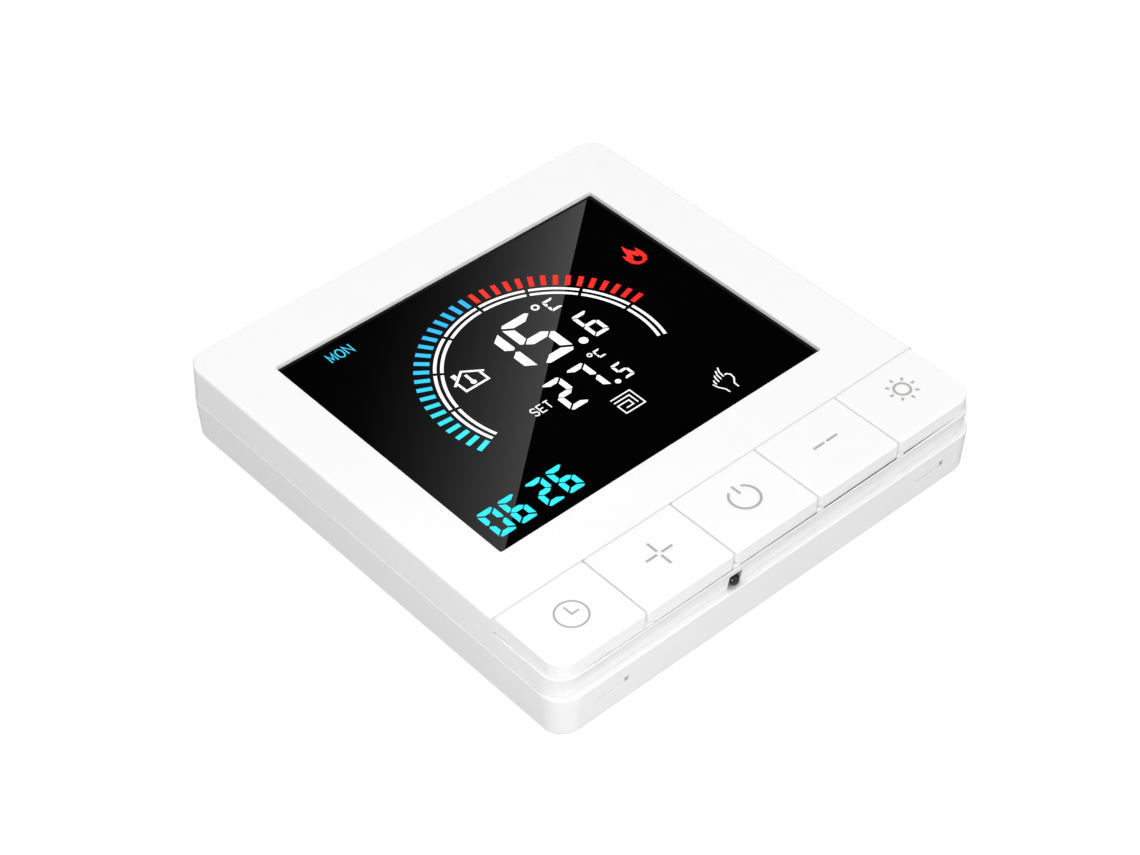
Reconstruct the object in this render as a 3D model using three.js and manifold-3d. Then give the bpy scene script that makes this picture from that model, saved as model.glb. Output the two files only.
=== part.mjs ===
// Wall thermostat with a glass display window and five keys along its lower edge.
// Millimetres. +X right, +Z up, front face towards -Y. The origin is the middle of the plane y = 0,
// where the back of the housing meets the wall. Depths in the front housing are counted from the
// front face towards the wall.
import * as THREE from 'three';
import { mergeVertices } from 'three/addons/utils/BufferGeometryUtils.js';
import Module from 'manifold-3d';

const wasm = await Module();
wasm.setup();

// ---------------------------------------------------------------- driving dimensions
const WIDTH = 86;
const HEIGHT = 88;
const THICKNESS = 14.6;
const CORNER_R = 4;
const WALL = 1.8;
const PART_DEPTH = 6.65;
const PART_STEP = 0.12; // how far the sides of the front housing end inside those of the base
const GAP = 0.1;
const CLEAR = 0.15;
const EMBED = 0.3; // how far an added feature reaches into the body it grows from
const BEYOND = 1; // how far a cutting body reaches past the surface it opens

const FACE_INSET = 0.34;
const FACE_FILLET = 0.5;
const FACE_PLATE = 2.4;
const ROOM_R = 2.5;
const BASE_INSET = 0.35;
const BASE_FILLET = 0.9;
const BASE_PLATE = 2;
const BASE_RECESS = 0.4; // seat in the back of the base for the rear housing
const REAR_SEAT_PLAY = 0.3;
const RIM_ROUND = 0.15;

const WINDOW = { x: -0.6, z: 6.05, w: 65.2, h: 53.2, r: 0.3 };
const LIP = 1;
const GLASS_RECESS = 0.7;
const GLASS = 1;

const KEY_TOP = -29.75;
const KEY_PITCH = 17.08;
const KEY_GAP = 0.3;
const KEY_WALL_DEPTH = 1.85;
const KEY_PLATE = 1.4;
const KEY_SIDE = 0.9;
const KEY_LEG = { halfW: 5, t: 1, back: 0.1, sink: 0.2 };
const KEY_POST = { r: 1.5, hole: 2.1 };
const SKIRT_DEPTH = 2.25;
const SKIRT_STEP = 1;
const SKIRT_WALL = 1.6;
const SKIRT_ROOT = 5; // how far the skirt's block reaches up beside the room behind the face
const DECK = { front: 3.2, back: 4.4, short: 0.4 };
const HINGE = { depth: 2.8, z: -28.25, web: 0.4 };
const CARRIER = { half: 39.5, front: 2.5, back: 3.6, top: -24.4 };
const PRESS_Z = -37;
const KEY_NAMES = ['clock', 'plus', 'power', 'minus', 'light'];

const BOARD = { front: 7.4, back: 8.6, w: 79, top: 41, bottom: -40.2, r: 2, hole: 1.2 };
const SWITCH = { size: 5.2, front: 5.5, tip: 5, bore: 6.95, end: 6.6, plungerR: 1 };
const SCREW_CLEAR = 0.15;
const BOARD_SCREW = { headR: 1.9, headT: 1.3, r: 0.9, length: 5 };
const REAR_SCREW = { headR: 2.3, headT: 1.2, r: 1.1, length: 11 };
const TERMINAL_SCREW = { headR: 1.8, headT: 1.6, r: 1.2, length: 4.2 };
const CROSS = { half: 0.22, reach: 0.6, depth: 0.5 };

const REAR = { size: 50, depth: 25, wall: 1.6, corner: 4, bossR: 2.5, webHalf: 1, short: 1 };
const VENT = { side: 3, pitch: 5, half: 0.8, front: 8, back: 19 };
const POWER = { front: 1.5, back: 3.1, stand: 0.2, play: 0.4, r: 2 };
const POLES = 6;
const POLE_PITCH = 7.5;

const SEG = 6;

// ---------------------------------------------------------------- shapes and solids
const yAt = (depth) => depth - THICKNESS;

function solid(geometry) {
  const bare = geometry.index ? geometry.clone() : geometry;
  bare.deleteAttribute('normal');
  bare.deleteAttribute('uv');
  const merged = mergeVertices(bare, 1e-4);
  return new wasm.Manifold(new wasm.Mesh({
    numProp: 3,
    vertProperties: new Float32Array(merged.attributes.position.array),
    triVerts: new Uint32Array(merged.index.array),
  }));
}

function geometryOf(body) {
  const mesh = body.getMesh();
  const geometry = new THREE.BufferGeometry();
  geometry.setAttribute('position', new THREE.BufferAttribute(mesh.vertProperties, 3));
  geometry.setIndex(new THREE.BufferAttribute(mesh.triVerts, 1));
  geometry.computeVertexNormals();
  return geometry;
}

// A rounded rectangle in the face plane; its sides may be set one by one.
function roundedRect(left, right, bottom, top, r) {
  const shape = new THREE.Shape();
  shape.moveTo(left + r, bottom);
  shape.lineTo(right - r, bottom);
  shape.absarc(right - r, bottom + r, r, -Math.PI / 2, 0);
  shape.lineTo(right, top - r);
  shape.absarc(right - r, top - r, r, 0, Math.PI / 2);
  shape.lineTo(left + r, top);
  shape.absarc(left + r, top - r, r, Math.PI / 2, Math.PI);
  shape.lineTo(left, bottom + r);
  shape.absarc(left + r, bottom + r, r, Math.PI, Math.PI * 1.5);
  return shape;
}

const centredRect = (cx, cz, w, h, r) => roundedRect(cx - w / 2, cx + w / 2, cz - h / 2, cz + h / 2, r);

// A shape of the face plane, given thickness from yFront to yBack.
function slab(shape, yFront, yBack) {
  const geometry = new THREE.ExtrudeGeometry(shape, {
    depth: yBack - yFront,
    bevelEnabled: false,
    curveSegments: SEG,
  });
  geometry.rotateX(Math.PI / 2);
  geometry.translate(0, yBack, 0);
  return solid(geometry);
}

function box(x0, x1, y0, y1, z0, z1) {
  const geometry = new THREE.BoxGeometry(x1 - x0, y1 - y0, z1 - z0);
  geometry.translate((x0 + x1) / 2, (y0 + y1) / 2, (z0 + z1) / 2);
  return solid(geometry);
}

function rodY(r, x, z, y0, y1, sides = 16) {
  const geometry = new THREE.CylinderGeometry(r, r, y1 - y0, sides);
  geometry.translate(x, (y0 + y1) / 2, z);
  return solid(geometry);
}

// A convex body through rounded-rectangle outlines, each at its own y.
function loft(stations) {
  const rings = stations.map(({ y, left, right, bottom, top, r }) => (
    roundedRect(left, right, bottom, top, r).getPoints(SEG).slice(0, -1)
      .map((p) => new THREE.Vector3(p.x, y, p.y))
  ));
  const count = rings[0].length;
  const points = rings.flat();
  const index = [];
  for (let s = 0; s < rings.length - 1; s += 1) {
    for (let i = 0; i < count; i += 1) {
      const a = s * count + i;
      const b = s * count + ((i + 1) % count);
      index.push(a, b, b + count, a, b + count, a + count);
    }
  }
  const last = points.length - count;
  for (let i = 1; i < count - 1; i += 1) {
    index.push(0, i + 1, i);
    index.push(last, last + i, last + i + 1);
  }
  // The rings run anticlockwise seen from the front, so each triangle is turned to face out.
  const turned = [];
  for (let i = 0; i < index.length; i += 3) turned.push(index[i], index[i + 2], index[i + 1]);
  const geometry = new THREE.BufferGeometry().setFromPoints(points);
  geometry.setIndex(turned);
  return solid(geometry);
}

const outline = (y, inset) => ({
  y,
  left: -WIDTH / 2 + inset,
  right: WIDTH / 2 - inset,
  bottom: -HEIGHT / 2 + inset,
  top: HEIGHT / 2 - inset,
  r: CORNER_R - inset,
});

// Stations of a quarter-round edge of radius r, whose outer side is inset by `inset`.
function roundEdge(yEdge, inwards, r, inset, steps = 3) {
  const stations = [];
  for (let i = 0; i <= steps; i += 1) {
    const a = (Math.PI / 2) * (i / steps);
    stations.push(outline(yEdge + inwards * r * (1 - Math.cos(a)), inset + r * (1 - Math.sin(a))));
  }
  return stations;
}

// ---------------------------------------------------------------- materials
const finish = (color, roughness, metalness = 0) => ({ color, roughness, metalness });
const WHITE_ABS = finish(0xf4f4f3, 0.35);
const KEY_ABS = finish(0xf7f7f6, 0.35);
const BLACK_GLASS = finish(0x050506, 0.05);
const LCD_GLASS = finish(0x11151a, 0.12);
const ACRYLIC = finish(0xdfe8ee, 0.15);
const NATURAL_ABS = finish(0xe6e4dc, 0.5);
const BLACK_RUBBER = finish(0x1b1b1c, 0.7);
const GREEN_BOARD = finish(0x1d5a35, 0.45);
const BLACK_PART = finish(0x161617, 0.4);
const STEEL = finish(0xb9bbbe, 0.3, 1);
const BRIGHT_CAN = finish(0xc9ccd0, 0.28, 1);
const EPOXY_BLACK = finish(0x0a0a0b, 0.12);
const RELAY_BLUE = finish(0x1f4fa0, 0.4);
const TAPE_YELLOW = finish(0xd9b02c, 0.5);
const CAP_YELLOW = finish(0xe0c23c, 0.45);
const DISC_BLUE = finish(0x2f6fb3, 0.45);
const TERMINAL_GREEN = finish(0x2f7d4a, 0.45);
const COPPER_COIL = finish(0x9a5a32, 0.4, 0.6);

const thermostat = new THREE.Group();

function piece(name, body, look) {
  const mesh = new THREE.Mesh(geometryOf(body), new THREE.MeshStandardMaterial(look));
  mesh.name = name;
  thermostat.add(mesh);
}

// ---------------------------------------------------------------- shared places
const keyEdges = KEY_NAMES.map((_, i) => {
  const middle = (i - (KEY_NAMES.length - 1) / 2) * KEY_PITCH;
  return { middle, left: middle - KEY_PITCH / 2, right: middle + KEY_PITCH / 2 };
});
const BOARD_BOSSES = [[-38, 38.6], [38, 38.6], [-38, -19], [38, -19]];
const BOSS = { r: 2.2, floor: 0.6 };
const STAKES = { x: [-25.6, 0, 25.6], z: -26.2, r: 1, end: 3.8 };
const SNAP = { x: 32.7, w: 5, z: -42, t: 1, front: 9.6, back: 10.4, barb: 1.2 };
const HOOK = { x: 25, w: 6, z: 42, t: 1, front: 8.6, back: 9.4, barb: 0.8, room: 0.5, play: 0.2, notch: 40.4 };
const PRY_SLOT = { w: 5.8, front: 9.45, back: 10.55 };
const SENSOR = { x: -8.6, w: 2.9, front: 4, depth: 5.55 };
const REAR_BOSSES = [[-20.6, 20.6], [20.6, 20.6], [-20.6, -7.6], [20.6, -7.6]];
const HEADER = { x: 10, z0: -8, z1: -3 };
const WALL_SLOT = { x: 30, w: 8, h: 3.8, r: 1.89 };
const BAY_TOP = -12;

// The whole front housing as one block: rounded face edge, sides opening out to the parting line.
const frontForm = loft([
  ...roundEdge(yAt(0), 1, FACE_FILLET, FACE_INSET),
  outline(yAt(PART_DEPTH), PART_STEP),
]);

// How far its sides lie inside the full outline, from the face edge to the parting line.
function sideInset(depth) {
  const t = (depth - FACE_FILLET) / (PART_DEPTH - FACE_FILLET);
  return FACE_INSET + (PART_STEP - FACE_INSET) * t;
}

// ---------------------------------------------------------------- front housing
function frontShell() {
  const inner = WIDTH / 2 - FACE_INSET - WALL;
  const innerTop = HEIGHT / 2 - FACE_INSET - WALL;
  const skirtInner = -HEIGHT / 2 + SKIRT_STEP + SKIRT_WALL;
  const keyLine = KEY_TOP + KEY_GAP / 2;
  const room = (bottom, top) => roundedRect(-inner, inner, bottom, top, ROOM_R);
  // below the keys' top edges the face gives way to a skirt, whose bottom side draws in towards the parting line
  const skirtRing = (depth, bottom) => (
    { ...outline(yAt(depth), sideInset(depth)), bottom, top: keyLine + SKIRT_ROOT }
  );
  let shell = frontForm.subtract(box(-WIDTH, WIDTH, yAt(-BEYOND), yAt(PART_DEPTH + BEYOND), -HEIGHT, keyLine));
  shell = shell.add(loft([
    skirtRing(SKIRT_DEPTH, -HEIGHT / 2 + sideInset(SKIRT_DEPTH)),
    skirtRing(PART_DEPTH, -HEIGHT / 2 + SKIRT_STEP),
  ]));
  shell = shell.subtract(slab(centredRect(WINDOW.x, WINDOW.z, WINDOW.w, WINDOW.h, WINDOW.r),
    yAt(-BEYOND), yAt(GLASS_RECESS + GLASS + GAP / 2)));
  shell = shell.subtract(slab(
    centredRect(WINDOW.x, WINDOW.z, WINDOW.w - 2 * LIP, WINDOW.h - 2 * LIP, WINDOW.r),
    yAt(0), yAt(FACE_PLATE + BEYOND),
  ));
  // room behind the face for the display and the boards, pocket for the keys, room behind the deck
  shell = shell.subtract(slab(room(keyLine, innerTop), yAt(FACE_PLATE), yAt(PART_DEPTH + BEYOND)));
  shell = shell.subtract(slab(room(skirtInner, keyLine + BEYOND), yAt(SKIRT_DEPTH) - GAP, yAt(DECK.front)));
  shell = shell.subtract(slab(room(skirtInner, keyLine + BEYOND), yAt(DECK.back), yAt(PART_DEPTH + BEYOND)));
  shell = shell.subtract(box(-inner, inner, yAt(FACE_PLATE), yAt(DECK.back),
    keyLine - DECK.short, keyLine + ROOM_R));
  shell = shell.subtract(slab(roundedRect(-inner, inner, keyLine, keyLine + 2 * ROOM_R, GAP),
    yAt(DECK.back) - GAP, yAt(PART_DEPTH + BEYOND)));
  keyEdges.forEach(({ middle }) => {
    shell = shell.subtract(rodY(KEY_POST.hole, middle, PRESS_Z,
      yAt(DECK.front) - BEYOND, yAt(DECK.back) + BEYOND));
  });
  shell = shell.subtract(box(SENSOR.x - SENSOR.w / 2, SENSOR.x + SENSOR.w / 2,
    yAt(SENSOR.front), yAt(PART_DEPTH + BEYOND), -HEIGHT / 2, skirtInner + BEYOND));
  // screw bosses for the board and stakes for the key strip
  BOARD_BOSSES.forEach(([x, z]) => {
    const boss = rodY(BOSS.r, x, z, yAt(FACE_PLATE) - EMBED, yAt(BOARD.front) - GAP);
    const hole = rodY(BOARD_SCREW.r + SCREW_CLEAR, x, z,
      yAt(FACE_PLATE) + BOSS.floor, yAt(BOARD.front) + BEYOND);
    shell = shell.add(boss).subtract(hole);
  });
  STAKES.x.forEach((x) => {
    shell = shell.add(rodY(STAKES.r, x, STAKES.z, yAt(FACE_PLATE) - EMBED, yAt(STAKES.end), 12));
  });
  // snap tabs at the bottom, hooks at the top
  [-1, 1].forEach((side) => {
    const snapX = side * SNAP.x;
    shell = shell.add(box(snapX - SNAP.w / 2, snapX + SNAP.w / 2,
      yAt(DECK.back) - EMBED, yAt(SNAP.back), SNAP.z, SNAP.z + SNAP.t));
    shell = shell.add(box(snapX - SNAP.w / 2, snapX + SNAP.w / 2,
      yAt(SNAP.front), yAt(SNAP.back), SNAP.z - SNAP.barb, SNAP.z + EMBED));
    const hookX = side * HOOK.x;
    shell = shell.add(box(hookX - HOOK.w / 2, hookX + HOOK.w / 2,
      yAt(FACE_PLATE) - EMBED, yAt(HOOK.back), HOOK.z - HOOK.t, HOOK.z));
    shell = shell.add(box(hookX - HOOK.w / 2, hookX + HOOK.w / 2,
      yAt(HOOK.front), yAt(HOOK.back), HOOK.z - EMBED, HOOK.z + HOOK.barb));
  });
  return shell;
}

piece('front_shell', frontShell(), WHITE_ABS);

// ---------------------------------------------------------------- display stack
const CELL = { w: 67, h: 56, front: 2.5, back: 4.4, raised: 1.8, play: 0.2 };
const GUIDE = { front: 4.5, back: 6.3, bottom: -19.2, short: 2.2, play: 0.3 };
const TRAY = { front: 2.6, plateFront: 6.4, back: 7.1, wall: 1.1, air: 0.2 };
const ZEBRA = { w: 58, z0: -21.6, z1: -19.9, play: 0.3 };
const STRIP = { short: 2, low: 1.2, high: 1.9, play: 0.1 };
const LED = { side: 2, pitch: 12, halfW: 1.5, low: 0.3, high: 1.4, play: 0.3 };

const glassW = WINDOW.w - 2 * CLEAR;
const glassH = WINDOW.h - 2 * CLEAR;
piece('window_lens', slab(centredRect(WINDOW.x, WINDOW.z, glassW, glassH, WINDOW.r),
  yAt(GLASS_RECESS), yAt(GLASS_RECESS + GLASS)), BLACK_GLASS);

const cellLeft = WINDOW.x - CELL.w / 2;
const cellRight = WINDOW.x + CELL.w / 2;
const cellBottom = WINDOW.z - CELL.h / 2;
const cellTop = WINDOW.z + CELL.h / 2;

// The lower glass with its terminal ledge, and the upper glass, which reaches into the window.
function lcdCell() {
  const lower = box(cellLeft, cellRight, yAt(CELL.front), yAt(CELL.back), cellBottom, cellTop);
  const halfW = WINDOW.w / 2 - LIP - CELL.play;
  const halfH = WINDOW.h / 2 - LIP - CELL.play;
  const upper = box(WINDOW.x - halfW, WINDOW.x + halfW, yAt(CELL.raised), yAt(CELL.front) + EMBED,
    WINDOW.z - halfH, WINDOW.z + halfH);
  return lower.add(upper);
}
piece('lcd_cell', lcdCell(), LCD_GLASS);

const guideTop = cellTop - GUIDE.short;
piece('light_guide', box(cellLeft + GUIDE.play, cellRight - GUIDE.play, yAt(GUIDE.front), yAt(GUIDE.back),
  GUIDE.bottom, guideTop), ACRYLIC);

function ledStrip() {
  let strip = box(cellLeft + STRIP.short, cellRight - STRIP.short,
    yAt(GUIDE.front) + STRIP.play, yAt(GUIDE.back) - STRIP.play, guideTop + STRIP.low, guideTop + STRIP.high);
  for (let i = -LED.side; i <= LED.side; i += 1) {
    const x = WINDOW.x + i * LED.pitch;
    strip = strip.add(box(x - LED.halfW, x + LED.halfW,
      yAt(GUIDE.front) + LED.play, yAt(GUIDE.back) - LED.play, guideTop + LED.low, guideTop + LED.high));
  }
  return strip;
}
piece('backlight_led_strip', ledStrip(), finish(0xf1f1ea, 0.5));

function lcdTray() {
  const { air, wall } = TRAY;
  const outer = box(cellLeft - air - wall, cellRight + air + wall,
    yAt(TRAY.front), yAt(TRAY.back), cellBottom - air - wall, cellTop + air + wall);
  const inner = box(cellLeft - air, cellRight + air, yAt(0), yAt(TRAY.plateFront), cellBottom - air, cellTop + air);
  const halfW = ZEBRA.w / 2 + ZEBRA.play;
  const slot = box(WINDOW.x - halfW, WINDOW.x + halfW, yAt(0), yAt(TRAY.back + BEYOND),
    ZEBRA.z0 - ZEBRA.play, ZEBRA.z1 + ZEBRA.play);
  return outer.subtract(inner).subtract(slot);
}
piece('lcd_tray', lcdTray(), NATURAL_ABS);
piece('zebra_connector', box(WINDOW.x - ZEBRA.w / 2, WINDOW.x + ZEBRA.w / 2, yAt(CELL.back) + GAP,
  yAt(BOARD.front) - GAP, ZEBRA.z0, ZEBRA.z1), BLACK_RUBBER);

// ---------------------------------------------------------------- keys
function keyCap({ middle, left, right }, atLeft, atRight) {
  const x0 = left + KEY_GAP / 2;
  const x1 = right - KEY_GAP / 2;
  const top = KEY_TOP - KEY_GAP / 2;
  const region = box(atLeft ? -WIDTH : x0, atRight ? WIDTH : x1, yAt(-BEYOND), yAt(KEY_WALL_DEPTH), -HEIGHT, top);
  const rim = FACE_INSET + KEY_SIDE;
  const hollowForm = slab(roundedRect(-WIDTH / 2 + rim, WIDTH / 2 - rim, -HEIGHT / 2 + rim, 0, CORNER_R - rim),
    yAt(KEY_PLATE), yAt(KEY_WALL_DEPTH + BEYOND));
  const hollow = hollowForm.intersect(box(atLeft ? -WIDTH : x0 + KEY_SIDE, atRight ? WIDTH : x1 - KEY_SIDE,
    yAt(0), yAt(KEY_WALL_DEPTH + BEYOND), -HEIGHT, top - KEY_LEG.t));
  const legLeft = middle - KEY_LEG.halfW;
  const legRight = middle + KEY_LEG.halfW;
  const web0 = yAt(HINGE.depth - HINGE.web / 2);
  const web1 = yAt(HINGE.depth + HINGE.web / 2);
  const inPlate = yAt(KEY_PLATE) - KEY_LEG.sink;
  const leg = box(legLeft, legRight, inPlate, web1, top - KEY_LEG.t, top - KEY_LEG.back);
  const web = box(legLeft, legRight, web0, web1, top - KEY_LEG.t, HINGE.z - GAP / 2);
  const post = rodY(KEY_POST.r, middle, PRESS_Z, inPlate, yAt(SWITCH.tip) - GAP / 2, 14);
  return frontForm.intersect(region).subtract(hollow).add(leg).add(web).add(post);
}

function keypadCarrier() {
  let strip = box(-CARRIER.half, CARRIER.half, yAt(CARRIER.front), yAt(CARRIER.back),
    HINGE.z + GAP / 2, CARRIER.top);
  STAKES.x.forEach((x) => {
    strip = strip.subtract(rodY(STAKES.r + CLEAR, x, STAKES.z, yAt(0), yAt(CARRIER.back + BEYOND), 12));
  });
  return strip;
}
piece('keypad_carrier', keypadCarrier(), NATURAL_ABS);

KEY_NAMES.forEach((name, i) => {
  const { middle } = keyEdges[i];
  const half = SWITCH.size / 2;
  piece(`key_${name}`, keyCap(keyEdges[i], i === 0, i === KEY_NAMES.length - 1), KEY_ABS);
  const housing = box(middle - half, middle + half, yAt(SWITCH.front), yAt(BOARD.front) - GAP,
    PRESS_Z - half, PRESS_Z + half);
  const bore = rodY(SWITCH.plungerR + CLEAR, middle, PRESS_Z, yAt(SWITCH.front - BEYOND), yAt(SWITCH.bore), 14);
  piece(`switch_${name}`, housing.subtract(bore), BLACK_PART);
  piece(`plunger_${name}`, rodY(SWITCH.plungerR, middle, PRESS_Z, yAt(SWITCH.tip), yAt(SWITCH.end), 14),
    NATURAL_ABS);
});

// ---------------------------------------------------------------- control board
function controlBoard() {
  let board = slab(roundedRect(-BOARD.w / 2, BOARD.w / 2, BOARD.bottom, BOARD.top, BOARD.r),
    yAt(BOARD.front), yAt(BOARD.back));
  BOARD_BOSSES.forEach(([x, z]) => {
    board = board.subtract(rodY(BOARD.hole, x, z, yAt(0), yAt(THICKNESS), 12));
  });
  // room for the top hooks
  [-1, 1].forEach((side) => {
    const x = side * HOOK.x;
    const half = HOOK.w / 2 + HOOK.room;
    board = board.subtract(box(x - half, x + half, yAt(0), yAt(THICKNESS), HOOK.notch, HEIGHT));
  });
  return board;
}
piece('control_pcb', controlBoard(), GREEN_BOARD);

// Block and upright cylinder of height t on a board face at y.
const blockOn = (y, { x0, x1, z0, z1, t }) => box(x0, x1, y, y + t, z0, z1);
const canOn = (y, { x, z, r, t }, sides = 20) => rodY(r, x, z, y, y + t, sides);

const MCU = { x0: -5, x1: 5, z0: 15, z1: 25, t: 1.4 };
const RADIO = { x0: 24.2, x1: 39, z0: 4, z1: 26, t: 2.6 };
const BUZZER = { x: 26, z: -24, r: 4.6, t: 2.9 };
const SOCKET = { x0: -HEADER.x, x1: HEADER.x, z0: HEADER.z0, z1: HEADER.z1, t: 1.9 };
const backY = yAt(BOARD.back) + GAP;
piece('mcu_chip', blockOn(backY, MCU), BLACK_PART);
piece('wifi_module', blockOn(backY, RADIO), BRIGHT_CAN);
piece('buzzer', canOn(backY, BUZZER), BLACK_PART);
piece('control_socket', blockOn(backY, SOCKET), BLACK_PART);

const COIN = { x: -28, z: 5, r: 10, lift: 0.6, t: 2.5 };
const HOLDER = { wall: 1.2, t: 3.4, floor: 0.5, mouthHalf: 4, mouthEnd: 13 };
function cellHolder() {
  const { x, z, r } = COIN;
  const { mouthHalf } = HOLDER;
  const ring = rodY(r + HOLDER.wall, x, z, backY, backY + HOLDER.t, 28);
  const pocket = rodY(r + CLEAR, x, z, backY + HOLDER.floor, backY + HOLDER.t + BEYOND, 28);
  const mouth = box(x - mouthHalf, x + mouthHalf, backY + HOLDER.floor, backY + HOLDER.t + BEYOND,
    z, z + HOLDER.mouthEnd);
  return ring.subtract(pocket).subtract(mouth);
}
piece('cell_holder', cellHolder(), BLACK_PART);
piece('backup_cell', canOn(backY + COIN.lift, COIN, 28), STEEL);

// Temperature probe: a rounded bead looking out of the bottom side, on two leads.
const PROBE = { r: 1.1, tip: -43.35, end: -38.9, dome: 1.3, rootR: 0.88, rings: 4 };
const LEAD = { half: 0.22, apart: 0.5, into: 0.5, top: -35.6 };
function ntcProbe() {
  const length = PROBE.end - PROBE.tip;
  const profile = [new THREE.Vector2(0, 0)];
  for (let i = 1; i <= PROBE.rings; i += 1) {
    const a = (Math.PI / 2) * (i / PROBE.rings);
    profile.push(new THREE.Vector2(PROBE.r * Math.sin(a), PROBE.dome * (1 - Math.cos(a))));
  }
  profile.push(new THREE.Vector2(PROBE.rootR, length));
  profile.push(new THREE.Vector2(0, length));
  const lathe = new THREE.LatheGeometry(profile, 14);
  lathe.rotateX(Math.PI / 2);
  lathe.translate(SENSOR.x, yAt(SENSOR.depth), PROBE.tip);
  let probe = solid(lathe);
  const { half, top } = LEAD;
  const y = yAt(SENSOR.depth);
  [-1, 1].forEach((side) => {
    const x = SENSOR.x + side * LEAD.apart;
    probe = probe.add(box(x - half, x + half, y - half, y + half, PROBE.end - LEAD.into, top));
    probe = probe.add(box(x - half, x + half, y - half, yAt(BOARD.front) - GAP, top - 2 * half, top));
  });
  return probe;
}
piece('ntc_probe', ntcProbe(), EPOXY_BLACK);

// A pan-head screw along Y with a cross recess; the head points to the wall or to the front.
function screw(x, z, yHead, towards, { headR, headT, r, length }) {
  const under = yHead - towards * (GAP / 2);
  const top = under - towards * headT;
  const end = under + towards * length;
  const lo = (a, b) => [Math.min(a, b), Math.max(a, b)];
  const head = rodY(headR, x, z, ...lo(under, top));
  const shank = rodY(r, x, z, ...lo(under - towards * EMBED, end), 12);
  const reach = headR * CROSS.reach;
  const [s0, s1] = lo(top + towards * headT * CROSS.depth, top - towards);
  const across = box(x - reach, x + reach, s0, s1, z - CROSS.half, z + CROSS.half);
  const upright = box(x - CROSS.half, x + CROSS.half, s0, s1, z - reach, z + reach);
  return head.add(shank).subtract(across).subtract(upright);
}

BOARD_BOSSES.forEach(([x, z], i) => {
  piece(`board_screw_${i + 1}`, screw(x, z, backY, -1, BOARD_SCREW), STEEL);
});

// ---------------------------------------------------------------- base
function rearBase() {
  const front = yAt(PART_DEPTH + GAP);
  const plate = -BASE_PLATE;
  let base = loft([
    ...roundEdge(front, 1, RIM_ROUND, 0, 2),
    ...roundEdge(0, -1, BASE_FILLET, BASE_INSET).reverse(),
  ]);
  base = base.subtract(slab(centredRect(0, 0, WIDTH - 2 * WALL, HEIGHT - 2 * WALL, CORNER_R - WALL),
    front - BEYOND, plate));
  // shallow seat in the back for the rear housing
  const seat = REAR.size + 2 * REAR_SEAT_PLAY;
  base = base.subtract(slab(centredRect(0, 0, seat, seat, REAR.corner + REAR_SEAT_PLAY), -BASE_RECESS, BEYOND));
  // pry slots in the bottom side, pockets for the top hooks, slots for the wall box screws
  [-1, 1].forEach((side) => {
    const slotX = side * SNAP.x;
    base = base.subtract(box(slotX - PRY_SLOT.w / 2, slotX + PRY_SLOT.w / 2,
      yAt(PRY_SLOT.front), yAt(PRY_SLOT.back), -HEIGHT, -HEIGHT / 2 + WALL + BEYOND));
    const hookX = side * HOOK.x;
    const half = HOOK.w / 2 + HOOK.room;
    base = base.subtract(box(hookX - half, hookX + half, yAt(HOOK.front) - HOOK.play, yAt(HOOK.back) + HOOK.play,
      HOOK.z - HOOK.t, HOOK.z + HOOK.barb + HOOK.play));
    const { w, h } = WALL_SLOT;
    base = base.subtract(slab(centredRect(side * WALL_SLOT.x, 0, w, h, WALL_SLOT.r), plate - BEYOND, BEYOND));
  });
  REAR_BOSSES.forEach(([x, z]) => {
    base = base.subtract(rodY(REAR_SCREW.r + 2 * SCREW_CLEAR, x, z, plate - BEYOND, BEYOND));
  });
  base = base.subtract(box(-HEADER.x - BEYOND, HEADER.x + BEYOND, plate - BEYOND, BEYOND,
    HEADER.z0 - BEYOND, HEADER.z1 + BEYOND));
  return base;
}
piece('rear_base', rearBase(), WHITE_ABS);

// ---------------------------------------------------------------- rear housing in the wall box
const floorY = POWER.back + POWER.stand;
function rearHousing() {
  const half = REAR.size / 2;
  const inner = half - REAR.wall;
  const innerR = REAR.corner - REAR.wall;
  let housing = slab(centredRect(0, 0, REAR.size, REAR.size, REAR.corner), GAP - BASE_RECESS, REAR.depth);
  housing = housing.subtract(slab(centredRect(0, 0, 2 * inner, 2 * inner, innerR), -BEYOND, POWER.back + GAP));
  housing = housing.subtract(slab(roundedRect(-inner, inner, BAY_TOP + REAR.wall, inner, innerR),
    0, REAR.depth - REAR.wall));
  housing = housing.subtract(box(-inner, inner, POWER.back, REAR.depth + BEYOND, -half - BEYOND, BAY_TOP));
  REAR_BOSSES.forEach(([x, z]) => {
    const wallX = Math.sign(x) * (inner + EMBED);
    const web = box(Math.min(x, wallX), Math.max(x, wallX), floorY, REAR.depth - REAR.short,
      z - REAR.webHalf, z + REAR.webHalf);
    housing = housing.add(rodY(REAR.bossR, x, z, floorY, REAR.depth - REAR.short));
    housing = housing.add(web);
    housing = housing.subtract(rodY(REAR_SCREW.r + SCREW_CLEAR, x, z, 0, REAR_SCREW.length, 12));
  });
  // cooling slots in the top side
  for (let i = -VENT.side; i <= VENT.side; i += 1) {
    const x = i * VENT.pitch;
    housing = housing.subtract(box(x - VENT.half, x + VENT.half, VENT.front, VENT.back,
      inner - BEYOND, half + BEYOND));
  }
  return housing;
}
piece('rear_housing', rearHousing(), WHITE_ABS);

function powerBoard() {
  const half = REAR.size / 2 - REAR.wall - POWER.play;
  let board = slab(centredRect(0, 0, 2 * half, 2 * half, POWER.r), POWER.front, POWER.back);
  REAR_BOSSES.forEach(([x, z]) => {
    board = board.subtract(rodY(REAR_SCREW.r + 2 * SCREW_CLEAR, x, z, 0, POWER.back + BEYOND, 12));
  });
  return board;
}
piece('power_pcb', powerBoard(), GREEN_BOARD);

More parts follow.
